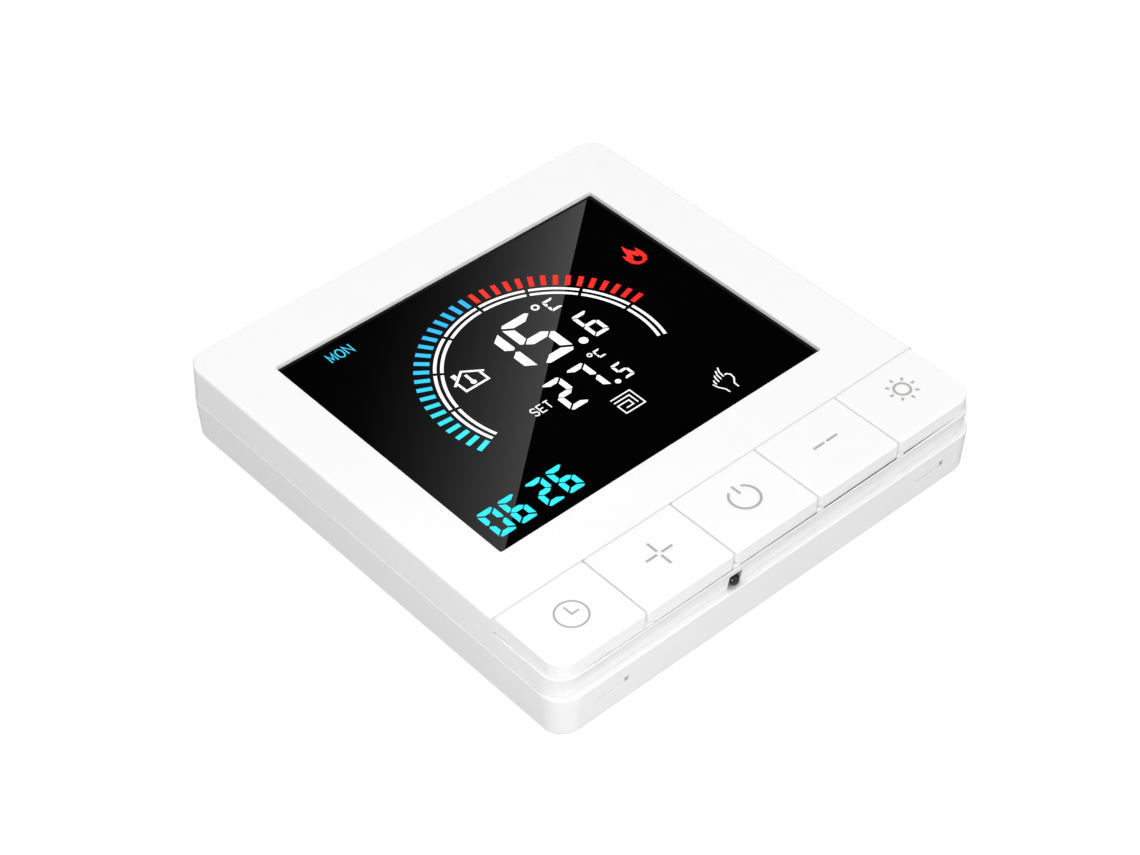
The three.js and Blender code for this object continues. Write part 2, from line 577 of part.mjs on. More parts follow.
const headerFront = backY + SOCKET.t + GAP;
piece('power_header', box(-HEADER.x, HEADER.x, headerFront, POWER.front - GAP, HEADER.z0, HEADER.z1), BLACK_PART);

const RELAY = { x0: -21.5, x1: 7.5, z0: 2.8, z1: 15.5, t: 15.7 };
const SAFETY_CAP = { x0: -8, x1: 5, z0: 16.8, z1: 22.8, t: 11 };
const BULK_CAP = { x: 12, z: 19.5, r: 3.4, t: 12 };
const FUSE = { x: -12, z: -3.4, r: 2.6, t: 8 };
const BRIDGE = { x0: 8, x1: 14, z0: -6.5, z1: -1.5, t: 2.6 };
piece('relay', blockOn(floorY, RELAY), RELAY_BLUE);
piece('safety_capacitor', blockOn(floorY, SAFETY_CAP), CAP_YELLOW);
piece('bulk_capacitor', canOn(floorY, BULK_CAP), BLACK_PART);
piece('fuse', canOn(floorY, FUSE, 16), BLACK_PART);
piece('bridge_rectifier', blockOn(floorY, BRIDGE), BLACK_PART);

const DISC = { x: -13.2, z: 19.6, r: 4, t: 3.6, lift: 5 };
function varistor() {
  const disc = new THREE.CylinderGeometry(DISC.r, DISC.r, DISC.t, 20);
  disc.rotateX(Math.PI / 2);
  disc.translate(DISC.x, floorY + DISC.lift, DISC.z);
  return solid(disc);
}
piece('varistor', varistor(), DISC_BLUE);

const TRANSFORMER = { x: 15.6, z: 9.2, w: 13, h: 12.6, t: 12, coilR: 5 };
const INDUCTOR = { x: -1.5, z: -3.6, w: 7, h: 7, t: 9, coilR: 2.4 };
const CORE_PLATE = 2;
function coreAndCoil({ x, z, w, h, t, coilR }) {
  const top = floorY + t;
  const post = rodY(coilR, x, z, floorY + CORE_PLATE / 2, top - CORE_PLATE / 2, 20);
  const foot = box(x - w / 2, x + w / 2, floorY, floorY + CORE_PLATE, z - h / 2, z + h / 2);
  const cap = box(x - w / 2, x + w / 2, top - CORE_PLATE, top, z - h / 2, z + h / 2);
  return post.add(foot).add(cap);
}
piece('transformer', coreAndCoil(TRANSFORMER), TAPE_YELLOW);
piece('filter_inductor', coreAndCoil(INDUCTOR), COPPER_COIL);

// ---------------------------------------------------------------- terminals
const BLOCK = { z0: -24.7, z1: BAY_TOP - EMBED, back: 16, screwZ: -18, screwFloor: 9, head: 13.6 };
const MOUTH = { half: 1.7, front: 5.2, back: 8.6, reach: 2 };
const poleX = Array.from({ length: POLES }, (_, i) => (i - (POLES - 1) / 2) * POLE_PITCH);

function terminalBlock() {
  const half = (POLES * POLE_PITCH) / 2;
  let block = box(-half, half, floorY, BLOCK.back, BLOCK.z0, BLOCK.z1);
  poleX.forEach((x) => {
    block = block.subtract(rodY(TERMINAL_SCREW.headR + CLEAR, x, BLOCK.screwZ,
      BLOCK.screwFloor, BLOCK.back + BEYOND, 16));
    block = block.subtract(box(x - MOUTH.half, x + MOUTH.half, MOUTH.front, MOUTH.back,
      BLOCK.z0 - BEYOND, BLOCK.screwZ + MOUTH.reach));
  });
  return block;
}
piece('terminal_block', terminalBlock(), TERMINAL_GREEN);

poleX.forEach((x, i) => {
  piece(`terminal_screw_${i + 1}`, screw(x, BLOCK.screwZ, BLOCK.head, -1, TERMINAL_SCREW), STEEL);
});

REAR_BOSSES.forEach(([x, z], i) => {
  piece(`housing_screw_${i + 1}`, screw(x, z, -BASE_PLATE, 1, REAR_SCREW), STEEL);
});

export default thermostat;
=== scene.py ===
"""Looks of a wall thermostat with a glass display window and five keys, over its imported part.

Shapes are worked out in millimetres in the part's own frame (+X right, +Z up, front towards -Y)
and become metres when a piece is finished. Depths are counted from the front face to the wall.
"""
import math

import bmesh
import bpy
from mathutils import Matrix, Vector

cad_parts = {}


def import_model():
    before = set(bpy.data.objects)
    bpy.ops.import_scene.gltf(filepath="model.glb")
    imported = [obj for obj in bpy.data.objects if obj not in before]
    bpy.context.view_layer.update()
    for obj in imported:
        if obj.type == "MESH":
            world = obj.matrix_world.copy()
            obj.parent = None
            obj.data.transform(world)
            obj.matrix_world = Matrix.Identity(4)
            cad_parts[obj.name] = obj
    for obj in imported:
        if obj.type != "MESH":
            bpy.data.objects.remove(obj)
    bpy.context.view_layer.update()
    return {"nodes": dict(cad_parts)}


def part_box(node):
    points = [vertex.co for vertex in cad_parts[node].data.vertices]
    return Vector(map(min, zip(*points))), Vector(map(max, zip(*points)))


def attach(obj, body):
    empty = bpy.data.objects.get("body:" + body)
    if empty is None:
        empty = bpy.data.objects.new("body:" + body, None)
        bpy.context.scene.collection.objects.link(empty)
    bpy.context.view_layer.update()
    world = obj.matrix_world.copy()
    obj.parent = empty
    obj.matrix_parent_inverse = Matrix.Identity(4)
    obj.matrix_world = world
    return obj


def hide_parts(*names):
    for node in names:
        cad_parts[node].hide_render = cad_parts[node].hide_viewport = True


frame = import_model()

MM = 0.001


def span(node):
    """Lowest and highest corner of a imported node, in millimetres."""
    low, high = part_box(node)
    return Vector(low) / MM, Vector(high) / MM


SHELL_LOW, SHELL_HIGH = span("front_shell")
BASE_LOW, BASE_HIGH = span("rear_base")
LENS_LOW, LENS_HIGH = span("window_lens")
CELL_LOW, CELL_HIGH = span("lcd_cell")
REAR_LOW, REAR_HIGH = span("rear_housing")
KEY_NAMES = ["clock", "plus", "power", "minus", "light"]
KEY_SPANS = [span("key_" + name) for name in KEY_NAMES]

FACE_Y = SHELL_LOW.y
SIDE = BASE_HIGH.x
TOP = BASE_HIGH.z

# front housing
CORNER = 4.0
WALL = 1.8
FACE_INSET = 0.34
FACE_FILLET = 0.5
FACE_PLATE = 2.4
PART_GAP = 0.015
PART_DEPTH = BASE_LOW.y - FACE_Y - PART_GAP
PART_STEP = 0.12
ROOM_CORNER = 2.5
DECK_FRONT, DECK_BACK = 3.2, 4.4

# window
LENS_DEPTH = LENS_LOW.y - FACE_Y
LENS_PLAY = 0.15
GLASS_SEAT = LENS_HIGH.y - FACE_Y + 0.05
WINDOW_CORNER = 0.35
WINDOW_TAPER = 0.09
LIP = 1.0

# keys
KEY_LINE = -29.6
KEY_GAP = 0.3
KEY_TOP = KEY_LINE - KEY_GAP
KEY_WALL = 3.15
KEY_PLATE = 1.4
KEY_SIDE = 0.9
KEY_EDGE = 0.46
KEY_REACH = 0.09
KEY_TOP_REACH = 0.297
KEY_TOP_EDGE = 0.015
KEY_TOP_CORNER = 0.05
KEY_CORNER, KEY_CORNER_LEAST = 0.8, 0.16
KEY_INSET = 0.72
KEY_ROUND = 0.26
PRESS_Z = -37.0
HINGE_DEPTH, HINGE_Z = 2.8, -28.25

# rim and skirt under the keys
RIM_TOP = 2.7
RIM_ROUND = 0.25
WELL_INSET, WELL_FLOOR = 0.708, 3.5
SKIRT_DEPTH = 2.25
SKIRT_STEP = 1.0
SKIRT_WALL = 1.6

# places shared by two pieces
PRY_X = 32.7
REAR_POSTS = [(x, z) for x in (-20.6, 20.6) for z in (20.6, -7.6)]

ARC_STEPS = 14
FILLET_STEPS = 7
PROUD = 0.01
BEYOND = 60


def at(depth):
    return FACE_Y + depth


# ------------------------------------------------------------------ outlines and solids
def rounded(left, right, bottom, top, radii, steps=ARC_STEPS):
    """Outline of a rectangle. Radii go lower left, lower right, upper right, upper left, or one for all."""
    if not isinstance(radii, (list, tuple)):
        radii = [radii] * 4
    corners = [(left, bottom, 1, 1, 180), (right, bottom, -1, 1, 270),
               (right, top, -1, -1, 0), (left, top, 1, -1, 90)]
    points = []
    for (x, z, sx, sz, start), r in zip(corners, radii):
        for i in range(steps + 1):
            a = math.radians(start + 90 * i / steps)
            points.append((x + sx * r + r * math.cos(a), z + sz * r + r * math.sin(a)))
    return points


def centred(cx, cz, w, h, r, steps=ARC_STEPS):
    return rounded(cx - w / 2, cx + w / 2, cz - h / 2, cz + h / 2, r, steps)


def circle(cx, cz, r, steps=32):
    return [(cx + r * math.cos(2 * math.pi * i / steps), cz + r * math.sin(2 * math.pi * i / steps))
            for i in range(steps)]


def new_object(name, bm):
    bmesh.ops.recalc_face_normals(bm, faces=bm.faces)
    mesh = bpy.data.meshes.new(name)
    bm.to_mesh(mesh)
    bm.free()
    obj = bpy.data.objects.new(name, mesh)
    bpy.context.scene.collection.objects.link(obj)
    return obj


def loft(rings, name="tool"):
    """A closed body through outlines of equal count, each with its own y."""
    bm = bmesh.new()
    rows = [[bm.verts.new((x, y, z)) for x, z in points] for y, points in rings]
    count = len(rows[0])
    for a, b in zip(rows, rows[1:]):
        for i in range(count):
            j = (i + 1) % count
            bm.faces.new((a[i], a[j], b[j], b[i]))
    bm.faces.new(rows[0])
    bm.faces.new(rows[-1])
    bmesh.ops.remove_doubles(bm, verts=bm.verts, dist=1e-4)
    return new_object(name, bm)


def prism(points, y0, y1, name="tool"):
    return loft([(y0, points), (y1, points)], name)


def box(x0, x1, y0, y1, z0, z1):
    return prism([(x0, z0), (x1, z0), (x1, z1), (x0, z1)], y0, y1)


def rod(x, z, r, y0, y1):
    return prism(circle(x, z, r), y0, y1)


def bake(obj):
    """Applies every modifier."""
    mesh = bpy.data.meshes.new_from_object(obj.evaluated_get(bpy.context.evaluated_depsgraph_get()))
    obj.modifiers.clear()
    old = obj.data
    obj.data = mesh
    bpy.data.meshes.remove(old)


def combine(obj, operation, tools):
    for tool in tools:
        m = obj.modifiers.new("join", "BOOLEAN")
        m.solver = "MANIFOLD"
        m.operation = operation
        m.object = tool
        bake(obj)
        bpy.data.objects.remove(tool)
    return obj


def cut(obj, *tools):
    return combine(obj, "DIFFERENCE", tools)


def add(obj, *tools):
    return combine(obj, "UNION", tools)


def soften(obj, width_at, sharp=28.0, segments=3):
    """Rounds the convex edges by the width in millimetres that width_at gives for an edge's middle."""
    bm = bmesh.new()
    bm.from_mesh(obj.data)
    bmesh.ops.remove_doubles(bm, verts=bm.verts, dist=2e-4)
    bmesh.ops.dissolve_limit(bm, angle_limit=math.radians(0.3), verts=bm.verts, edges=bm.edges)
    layer = bm.edges.layers.float.new("bevel_weight_edge")
    widths = {}
    for edge in bm.edges:
        if len(edge.link_faces) == 2 and edge.is_convex and edge.calc_face_angle(0) > math.radians(sharp):
            widths[edge.index] = width_at((edge.verts[0].co + edge.verts[1].co) / 2)
    most = max(widths.values())
    low = [min(v.co[i] for v in bm.verts) for i in range(3)]
    high = [max(v.co[i] for v in bm.verts) for i in range(3)]
    bm.edges.ensure_lookup_table()
    for index, width in widths.items():
        bm.edges[index][layer] = width / most
    bm.to_mesh(obj.data)
    bm.free()
    m = obj.modifiers.new("edges", "BEVEL")
    m.limit_method = "WEIGHT"
    m.width = most
    m.segments = segments
    m.use_clamp_overlap = False
    bake(obj)
    for v in obj.data.vertices:
        v.co = [min(max(c, a), b) for c, a, b in zip(v.co, low, high)]


def finish(obj, material, body, nodes, smooth=True):
    """Weighted normals, metres, material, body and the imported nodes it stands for."""
    obj.data.transform(Matrix.Scale(MM, 4))
    if smooth:
        obj.data.polygons.foreach_set("use_smooth", [True] * len(obj.data.polygons))
        m = obj.modifiers.new("normals", "WEIGHTED_NORMAL")
        m.keep_sharp = True
        m.weight = 60
        bake(obj)
    obj.data.materials.clear()
    obj.data.materials.append(material)
    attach(obj, body)
    if nodes:
        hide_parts(*nodes)
    return obj


# ------------------------------------------------------------------ materials
def new_material(name):
    m = bpy.data.materials.new(name)
    m.use_nodes = True
    return m, m.node_tree.nodes, m.node_tree.links, m.node_tree.nodes["Principled BSDF"]


def noise(nodes, links, source, scale, detail=4.0, roughness=0.55):
    n = nodes.new("ShaderNodeTexNoise")
    n.inputs["Scale"].default_value = scale
    n.inputs["Detail"].default_value = detail
    n.inputs["Roughness"].default_value = roughness
    links.new(source, n.inputs["Vector"])
    return n.outputs["Fac"]


def ramp(nodes, links, factor, low, high, start=0.3, end=0.7):
    """A smooth change from one colour to another."""
    r = nodes.new("ShaderNodeValToRGB")
    r.color_ramp.elements[0].position = start
    r.color_ramp.elements[0].color = (*low, 1)
    r.color_ramp.elements[1].position = end
    r.color_ramp.elements[1].color = (*high, 1)
    links.new(factor, r.inputs["Fac"])
    return r.outputs["Color"]


def spread(nodes, links, factor, low, high):
    r = nodes.new("ShaderNodeMapRange")
    r.inputs["To Min"].default_value = low
    r.inputs["To Max"].default_value = high
    links.new(factor, r.inputs["Value"])
    return r.outputs["Result"]


def bump(nodes, links, height, depth):
    b = nodes.new("ShaderNodeBump")
    b.inputs["Strength"].default_value = 1.0
    b.inputs["Distance"].default_value = depth
    links.new(height, b.inputs["Height"])
    return b.outputs["Normal"]


def moulded(name, colour, roughness, grain=2600.0, depth=4e-6, specular=0.5, coat=0.0, milk=0.0):
    """Moulded plastic: faint mottling, uneven gloss and a fine eroded grain."""
    mottle = 0.015
    m, nodes, links, p = new_material(name)
    where = nodes.new("ShaderNodeTexCoord").outputs["Object"]
    cloud = noise(nodes, links, where, 60.0)
    darker = [c * (1 - mottle) for c in colour]
    links.new(ramp(nodes, links, cloud, darker, colour), p.inputs["Base Color"])
    fine = noise(nodes, links, where, grain, 3.0, 0.6)
    patches = noise(nodes, links, where, 220.0, 5.0)
    links.new(spread(nodes, links, patches, roughness - 0.05, roughness + 0.06), p.inputs["Roughness"])
    links.new(bump(nodes, links, fine, depth), p.inputs["Normal"])
    p.inputs["Specular IOR Level"].default_value = specular
    p.inputs["Coat Weight"].default_value = coat
    p.inputs["Subsurface Weight"].default_value = milk
    p.inputs["Subsurface Radius"].default_value = (1.0, 0.95, 0.9)
    p.inputs["Subsurface Scale"].default_value = 0.0007
    return m


def metal(name, colour, roughness, stretch=(1.0, 1.0, 12.0)):
    """Bare metal with drawn lines and dull patches."""
    grain = 900.0
    m, nodes, links, p = new_material(name)
    where = nodes.new("ShaderNodeTexCoord").outputs["Object"]
    mapping = nodes.new("ShaderNodeMapping")
    mapping.inputs["Scale"].default_value = stretch
    links.new(where, mapping.inputs["Vector"])
    lines = noise(nodes, links, mapping.outputs["Vector"], grain, 6.0, 0.7)
    patches = noise(nodes, links, where, 150.0)
    links.new(ramp(nodes, links, patches, [c * 0.82 for c in colour], colour), p.inputs["Base Color"])
    links.new(spread(nodes, links, lines, roughness - 0.08, roughness + 0.12), p.inputs["Roughness"])
    links.new(bump(nodes, links, lines, 3e-6), p.inputs["Normal"])
    p.inputs["Metallic"].default_value = 1.0
    return m


def circuit_board(name):
    """Green solder resist over copper tracks, with the weave just showing."""
    m, nodes, links, p = new_material(name)
    where = nodes.new("ShaderNodeTexCoord").outputs["Object"]
    tracks = nodes.new("ShaderNodeTexBrick")
    tracks.inputs["Scale"].default_value = 160.0
    tracks.inputs["Mortar Size"].default_value = 0.06
    links.new(where, tracks.inputs["Vector"])
    shade = ramp(nodes, links, tracks.outputs["Fac"], (0.012, 0.12, 0.045), (0.02, 0.2, 0.075), 0.4, 0.6)
    links.new(shade, p.inputs["Base Color"])
    weave = noise(nodes, links, where, 1800.0, 2.0)
    links.new(spread(nodes, links, weave, 0.28, 0.45), p.inputs["Roughness"])
    links.new(bump(nodes, links, tracks.outputs["Fac"], 2e-5), p.inputs["Normal"])
    return m


def wound_wire(name, colour):
    """Enamelled wire in close turns, with shade painted into the colour between the turns."""
    m, nodes, links, p = new_material(name)
    where = nodes.new("ShaderNodeTexCoord").outputs["Object"]
    turns = nodes.new("ShaderNodeTexWave")
    turns.bands_direction = "Y"
    turns.inputs["Scale"].default_value = 900.0
    links.new(where, turns.inputs["Vector"])
    turn = turns.outputs["Fac"]
    # painted shade: the colour falls to about a third of the wire's own towards the grooves between turns
    links.new(ramp(nodes, links, turn, [c * 0.35 for c in colour], colour), p.inputs["Base Color"])
    links.new(spread(nodes, links, turn, 0.5, 0.25), p.inputs["Roughness"])
    links.new(bump(nodes, links, turn, 1e-4), p.inputs["Normal"])
    p.inputs["Coat Weight"].default_value = 0.6
    return m


def dark_glass(name):
    """Smoked glass, so dark that nothing behind it shows, polished nearly evenly."""
    m, nodes, links, p = new_material(name)
    where = nodes.new("ShaderNodeTexCoord").outputs["Object"]
    cloud = noise(nodes, links, where, 35.0)
    shade = ramp(nodes, links, cloud, (0.0006, 0.0006, 0.0008), (0.001, 0.001, 0.0012))
    links.new(shade, p.inputs["Base Color"])
    links.new(spread(nodes, links, cloud, 0.0, 0.008), p.inputs["Roughness"])
    p.inputs["Specular IOR Level"].default_value = 0.14
    return m


def lit(name, low, high, strength):
    """A lit segment: its colour runs from low to high up the display, over a softly uneven light."""
    m, nodes, links, p = new_material(name)
    coords = nodes.new("ShaderNodeTexCoord")
    apart = nodes.new("ShaderNodeSeparateXYZ")
    links.new(coords.outputs["Generated"], apart.inputs["Vector"])
    shade = ramp(nodes, links, apart.outputs["Z"], low, high, 0.1, 0.95)
    links.new(shade, p.inputs["Emission Color"])
    cloud = noise(nodes, links, coords.outputs["Object"], 500.0)
    links.new(spread(nodes, links, cloud, strength * 0.94, strength * 1.06), p.inputs["Emission Strength"])
    links.new(ramp(nodes, links, cloud, (0.01, 0.01, 0.012), (0.02, 0.02, 0.022)), p.inputs["Base Color"])
    links.new(spread(nodes, links, cloud, 0.4, 0.6), p.inputs["Roughness"])
    p.inputs["Specular IOR Level"].default_value = 0.0
    return m


SHELL_WHITE = moulded("shell_white", (0.93, 0.93, 0.927), 0.36, milk=0.3)
KEY_WHITE = moulded("key_white", (0.935, 0.935, 0.932), 0.34, milk=0.3)
KEY_INK = moulded("key_ink", (0.44, 0.435, 0.425), 0.5, 4000.0, 2e-6)
GLASS = dark_glass("window_glass")
MASK_BLACK = moulded("window_mask", (0.001, 0.001, 0.0012), 0.6, 50.0, 1e-6, specular=0.0)
DARK_CELL = moulded("dark_cell", (0.0008, 0.0008, 0.001), 0.5, 50.0, 1e-6, specular=0.02)
EPOXY = moulded("black_epoxy", (0.006, 0.006, 0.0065), 0.12, 400.0, 2e-6, coat=0.6)
BLACK_PLASTIC = moulded("black_plastic", (0.018, 0.018, 0.019), 0.45)
BLACK_RUBBER = moulded("black_rubber", (0.03, 0.03, 0.031), 0.8, 1500.0, 1e-5)
NATURAL = moulded("natural_plastic", (0.78, 0.76, 0.7), 0.5)
ACRYLIC = moulded("acrylic", (0.8, 0.86, 0.9), 0.12)
LED_WHITE = moulded("led_white", (0.85, 0.85, 0.8), 0.5)
RELAY_BLUE = moulded("relay_blue", (0.03, 0.11, 0.42), 0.4)
TAPE_YELLOW = moulded("tape_yellow", (0.72, 0.5, 0.05), 0.45, 700.0, 1e-5)
DISC_BLUE = moulded("disc_blue", (0.03, 0.2, 0.48), 0.3, 500.0, 1e-5)
TERMINAL_GREEN = moulded("terminal_green", (0.045, 0.28, 0.1), 0.42)
BOARD = circuit_board("circuit_board")
STEEL = metal("steel", (0.62, 0.63, 0.64), 0.28, (1.0, 6.0, 1.0))
BRIGHT_CAN = metal("bright_can", (0.72, 0.73, 0.74), 0.24)
COPPER_WIRE = wound_wire("copper_wire", (0.6, 0.22, 0.07))
LIT_WHITE = lit("lit_white", (1.0, 1.0, 1.0), (1.0, 1.0, 1.0), 1.15)
LIT_CYAN = lit("lit_cyan", (0.03, 0.84, 1.0), (0.05, 0.62, 0.85), 1.1)
LIT_BLUE = lit("lit_blue", (0.04, 0.86, 1.0), (0.03, 0.47, 1.0), 1.12)
LIT_RED = lit("lit_red", (1.0, 0.012, 0.004), (1.0, 0.03, 0.02), 1.12)


# ------------------------------------------------------------------ front housing
def form_inset(depth):
    """How far the outer surface lies inside the full outline at a depth from the face."""
    if depth < FACE_FILLET:
        a = math.acos(1 - depth / FACE_FILLET)
        return FACE_INSET + FACE_FILLET * (1 - math.sin(a))
    t = (depth - FACE_FILLET) / (PART_DEPTH - FACE_FILLET)
    return FACE_INSET + (PART_STEP - FACE_INSET) * t


def full_outline(inset):
    return rounded(-SIDE + inset, SIDE - inset, -TOP + inset, TOP - inset, CORNER - inset)


def fillet_depths():
    """Depths of the rings that draw the fillet of the face."""
    return [FACE_FILLET * (1 - math.cos(math.pi / 2 * i / FILLET_STEPS)) for i in range(FILLET_STEPS + 1)]


def skirt_ring(depth):
    """Outline of the skirt under the keys. Only its bottom side draws in towards the wall."""
    t = (depth - SKIRT_DEPTH) / (PART_DEPTH - SKIRT_DEPTH)
    inset = form_inset(depth)
    bottom = -TOP + form_inset(SKIRT_DEPTH) * (1 - t) + SKIRT_STEP * t
    radii = [CORNER - inset, CORNER - inset, 0.2, 0.2]
    return rounded(-SIDE + inset, SIDE - inset, bottom, KEY_LINE + 3, radii)


def window_tools():
    """What the window takes from the face: the opening down to the glass, and the view through its seat."""
    place = (LENS_LOW.x + LENS_HIGH.x) / 2, (LENS_LOW.z + LENS_HIGH.z) / 2
    w, h = LENS_HIGH.x - LENS_LOW.x + 2 * LENS_PLAY, LENS_HIGH.z - LENS_LOW.z + 2 * LENS_PLAY
    mouth = place[0] - WINDOW_TAPER, place[1]
    seat = centred(*place, w, h, WINDOW_CORNER, 4)
    opening = loft([
        (at(-LENS_DEPTH), centred(*mouth, w + 2 * WINDOW_TAPER, h + 4 * WINDOW_TAPER, WINDOW_CORNER, 4)),
        (at(LENS_DEPTH), seat), (at(GLASS_SEAT), seat)])
    view = prism(centred(*place, w - 2 * LIP, h - 2 * LIP, WINDOW_CORNER, 4), at(0.5), at(FACE_PLATE + 1))
    return opening, view


def room_tools(skirt_inner):
    """What is hollow behind the face and in the skirt, before and behind the deck that carries the keys."""
    inner, inner_top = SIDE - FACE_INSET - WALL, TOP - FACE_INSET - WALL
    skirt_radii = [ROOM_CORNER, ROOM_CORNER, 0.3, 0.3]

    def skirt_room(top):
        return rounded(-inner, inner, skirt_inner, top, skirt_radii, 6)

    return (
        prism(rounded(-inner, inner, KEY_LINE + 3.2, inner_top, ROOM_CORNER, 6), at(FACE_PLATE),
              at(PART_DEPTH + 1)),
        prism(skirt_room(KEY_LINE + 1), at(RIM_TOP - 0.1), at(DECK_FRONT)),
        prism(skirt_room(KEY_LINE + 4), at(DECK_BACK), at(PART_DEPTH + 1)),
        box(-inner, inner, at(FACE_PLATE), at(DECK_BACK), KEY_LINE - 0.4, KEY_LINE + 3.4))


def rim_filler(one, other):
    """Fills the notch between the rounded corners of two neighbouring keys and the rim."""
    x = (one[1].x + other[0].x) / 2
    filler = box(x - 0.7, x + 0.7, at(RIM_TOP - 0.4), at(WELL_FLOOR + 0.05),
                 -TOP + 0.5, -TOP + KEY_INSET + 0.5)
    return cut(filler, *(prism(key_ring(*pair, KEY_WALL, -0.03), at(-1), at(5)) for pair in (one, other)))


def shell_edge_width(p):
    """How far an edge of the shell is rounded, from the place of its middle."""
    depth = p.y - FACE_Y
    if depth > PART_DEPTH - 0.2:
        return 0.02
    if abs(depth - RIM_TOP) < 0.1:
        across, down = abs(p.x) - SIDE + CORNER, -p.z - TOP + CORNER
        inset = CORNER - (math.hypot(across, down) if min(across, down) > 0 else max(across, down))
        return RIM_ROUND if inset < 0.45 else 0.0
    if p.z < KEY_LINE + 0.1:
        return 0.01
    return 0.05 if depth < 1 else 0.08


def front_shell():
    body_rings = [(at(d), full_outline(form_inset(d))) for d in [*fillet_depths(), PART_DEPTH]]
    shell = loft(body_rings, "housing_front")
    skirt_inner = -TOP + SKIRT_STEP + SKIRT_WALL
    cut(shell, box(-BEYOND, BEYOND, at(-1), at(PART_DEPTH + 1), -BEYOND, KEY_LINE))
    add(shell, loft([(at(d), skirt_ring(d)) for d in (RIM_TOP, PART_DEPTH)]))
    well = rounded(-SIDE + WELL_INSET, SIDE - WELL_INSET, -TOP + WELL_INSET, KEY_LINE,
                   [CORNER - WELL_INSET, CORNER - WELL_INSET, 0.1, 0.1])
    cut(shell, prism(well, at(RIM_TOP - 1), at(WELL_FLOOR)), *window_tools(), *room_tools(skirt_inner))
    for low, high in KEY_SPANS:
        cut(shell, rod(key_middle(low, high), PRESS_Z, 2.1, at(DECK_FRONT - 1), at(DECK_BACK + 1)))
    for one, other in zip(KEY_SPANS, KEY_SPANS[1:]):
        add(shell, rim_filler(one, other))
    sensor_low, sensor_high = span("ntc_probe")
    sensor_x = (sensor_low.x + sensor_high.x) / 2
    cut(shell, box(sensor_x - 1.18, sensor_x + 1.3, at(4), at(PART_DEPTH + 1), -TOP, skirt_inner + 1))
    # snap tabs, with their tips in the pry slots of the base
    for x in (-PRY_X, PRY_X):
        add(shell, box(x - 2.5, x + 2.5, at(DECK_BACK - 0.3), SHELL_HIGH.y, -42, -41),
            box(x - 2.8, x + 2.2, at(9.64), at(10.45), -TOP + 0.3, -41.8))
    soften(shell, shell_edge_width)
    finish(shell, SHELL_WHITE, "housing", ["front_shell"])


def key_middle(low, high):
    """The middle of a key's press post, which the end keys don't share with their boxes."""
    i = [k[0].x for k in KEY_SPANS].index(low.x)
    pitch = KEY_SPANS[2][1].x - KEY_SPANS[2][0].x + KEY_GAP
    return (i - 2) * pitch


# ------------------------------------------------------------------ keys
def edge_inset(depth, r):
    """How far a rounded edge of radius r lies inside its wall at a depth."""
    return r - math.sqrt(r * r - (r - depth) ** 2) if depth < r else 0.0


def key_inset(depth):
    """How far a key's outer walls lie inside the full outline of the housing."""
    return KEY_INSET + edge_inset(depth, KEY_ROUND)


def key_ring(low, high, depth, shrink=0.0):
    """A key's outline at a depth. Its outer walls stand just inside the rim of the skirt."""
    first, last = low.x < -SIDE + 1, high.x > SIDE - 1
    form = key_inset(depth)
    e = edge_inset(depth, KEY_EDGE)
    left = (-SIDE + form if first else low.x - KEY_REACH + e) + shrink
    right = (SIDE - form if last else high.x + KEY_REACH - e) - shrink
    bottom = -TOP + form + shrink
    top = KEY_TOP + KEY_TOP_REACH - edge_inset(depth, KEY_TOP_EDGE) - min(shrink, 1.0)
    small = max(KEY_CORNER - max(e, form - KEY_INSET) - shrink, KEY_CORNER_LEAST)
    big = CORNER - form - shrink
    radii = [big if first else small, big if last else small, KEY_TOP_CORNER, KEY_TOP_CORNER]
    return rounded(left, right, bottom, top, radii)


def key_cap(name, low, high):
    """A hollow cap with its hinge web and the post that presses the switch."""
    depths = [max(d, PROUD) for d in fillet_depths()] + [KEY_WALL]
    rings = [(at(d), key_ring(low, high, d)) for d in depths]
    rings.append((at(KEY_WALL), key_ring(low, high, KEY_WALL, KEY_SIDE)))
    rings.append((at(KEY_PLATE), key_ring(low, high, KEY_WALL, KEY_SIDE)))
    cap = loft(rings, "key_cap_" + name)
    middle = key_middle(low, high)
    left, right = middle - 5, middle + 5
    add(cap,
        box(left, right, at(KEY_PLATE - 0.2), at(HINGE_DEPTH + 0.2), KEY_TOP - 1, KEY_TOP - 0.1),
        box(left, right, at(HINGE_DEPTH - 0.2), at(HINGE_DEPTH + 0.2), KEY_TOP - 0.6, HINGE_Z - 0.05),
        rod(middle, PRESS_Z, 1.5, at(KEY_PLATE - 0.2), at(4.95)))
    soften(cap, lambda p: 0.06, 40.0, 2)
    finish(cap, KEY_WHITE, name + "_key", ["key_" + name])


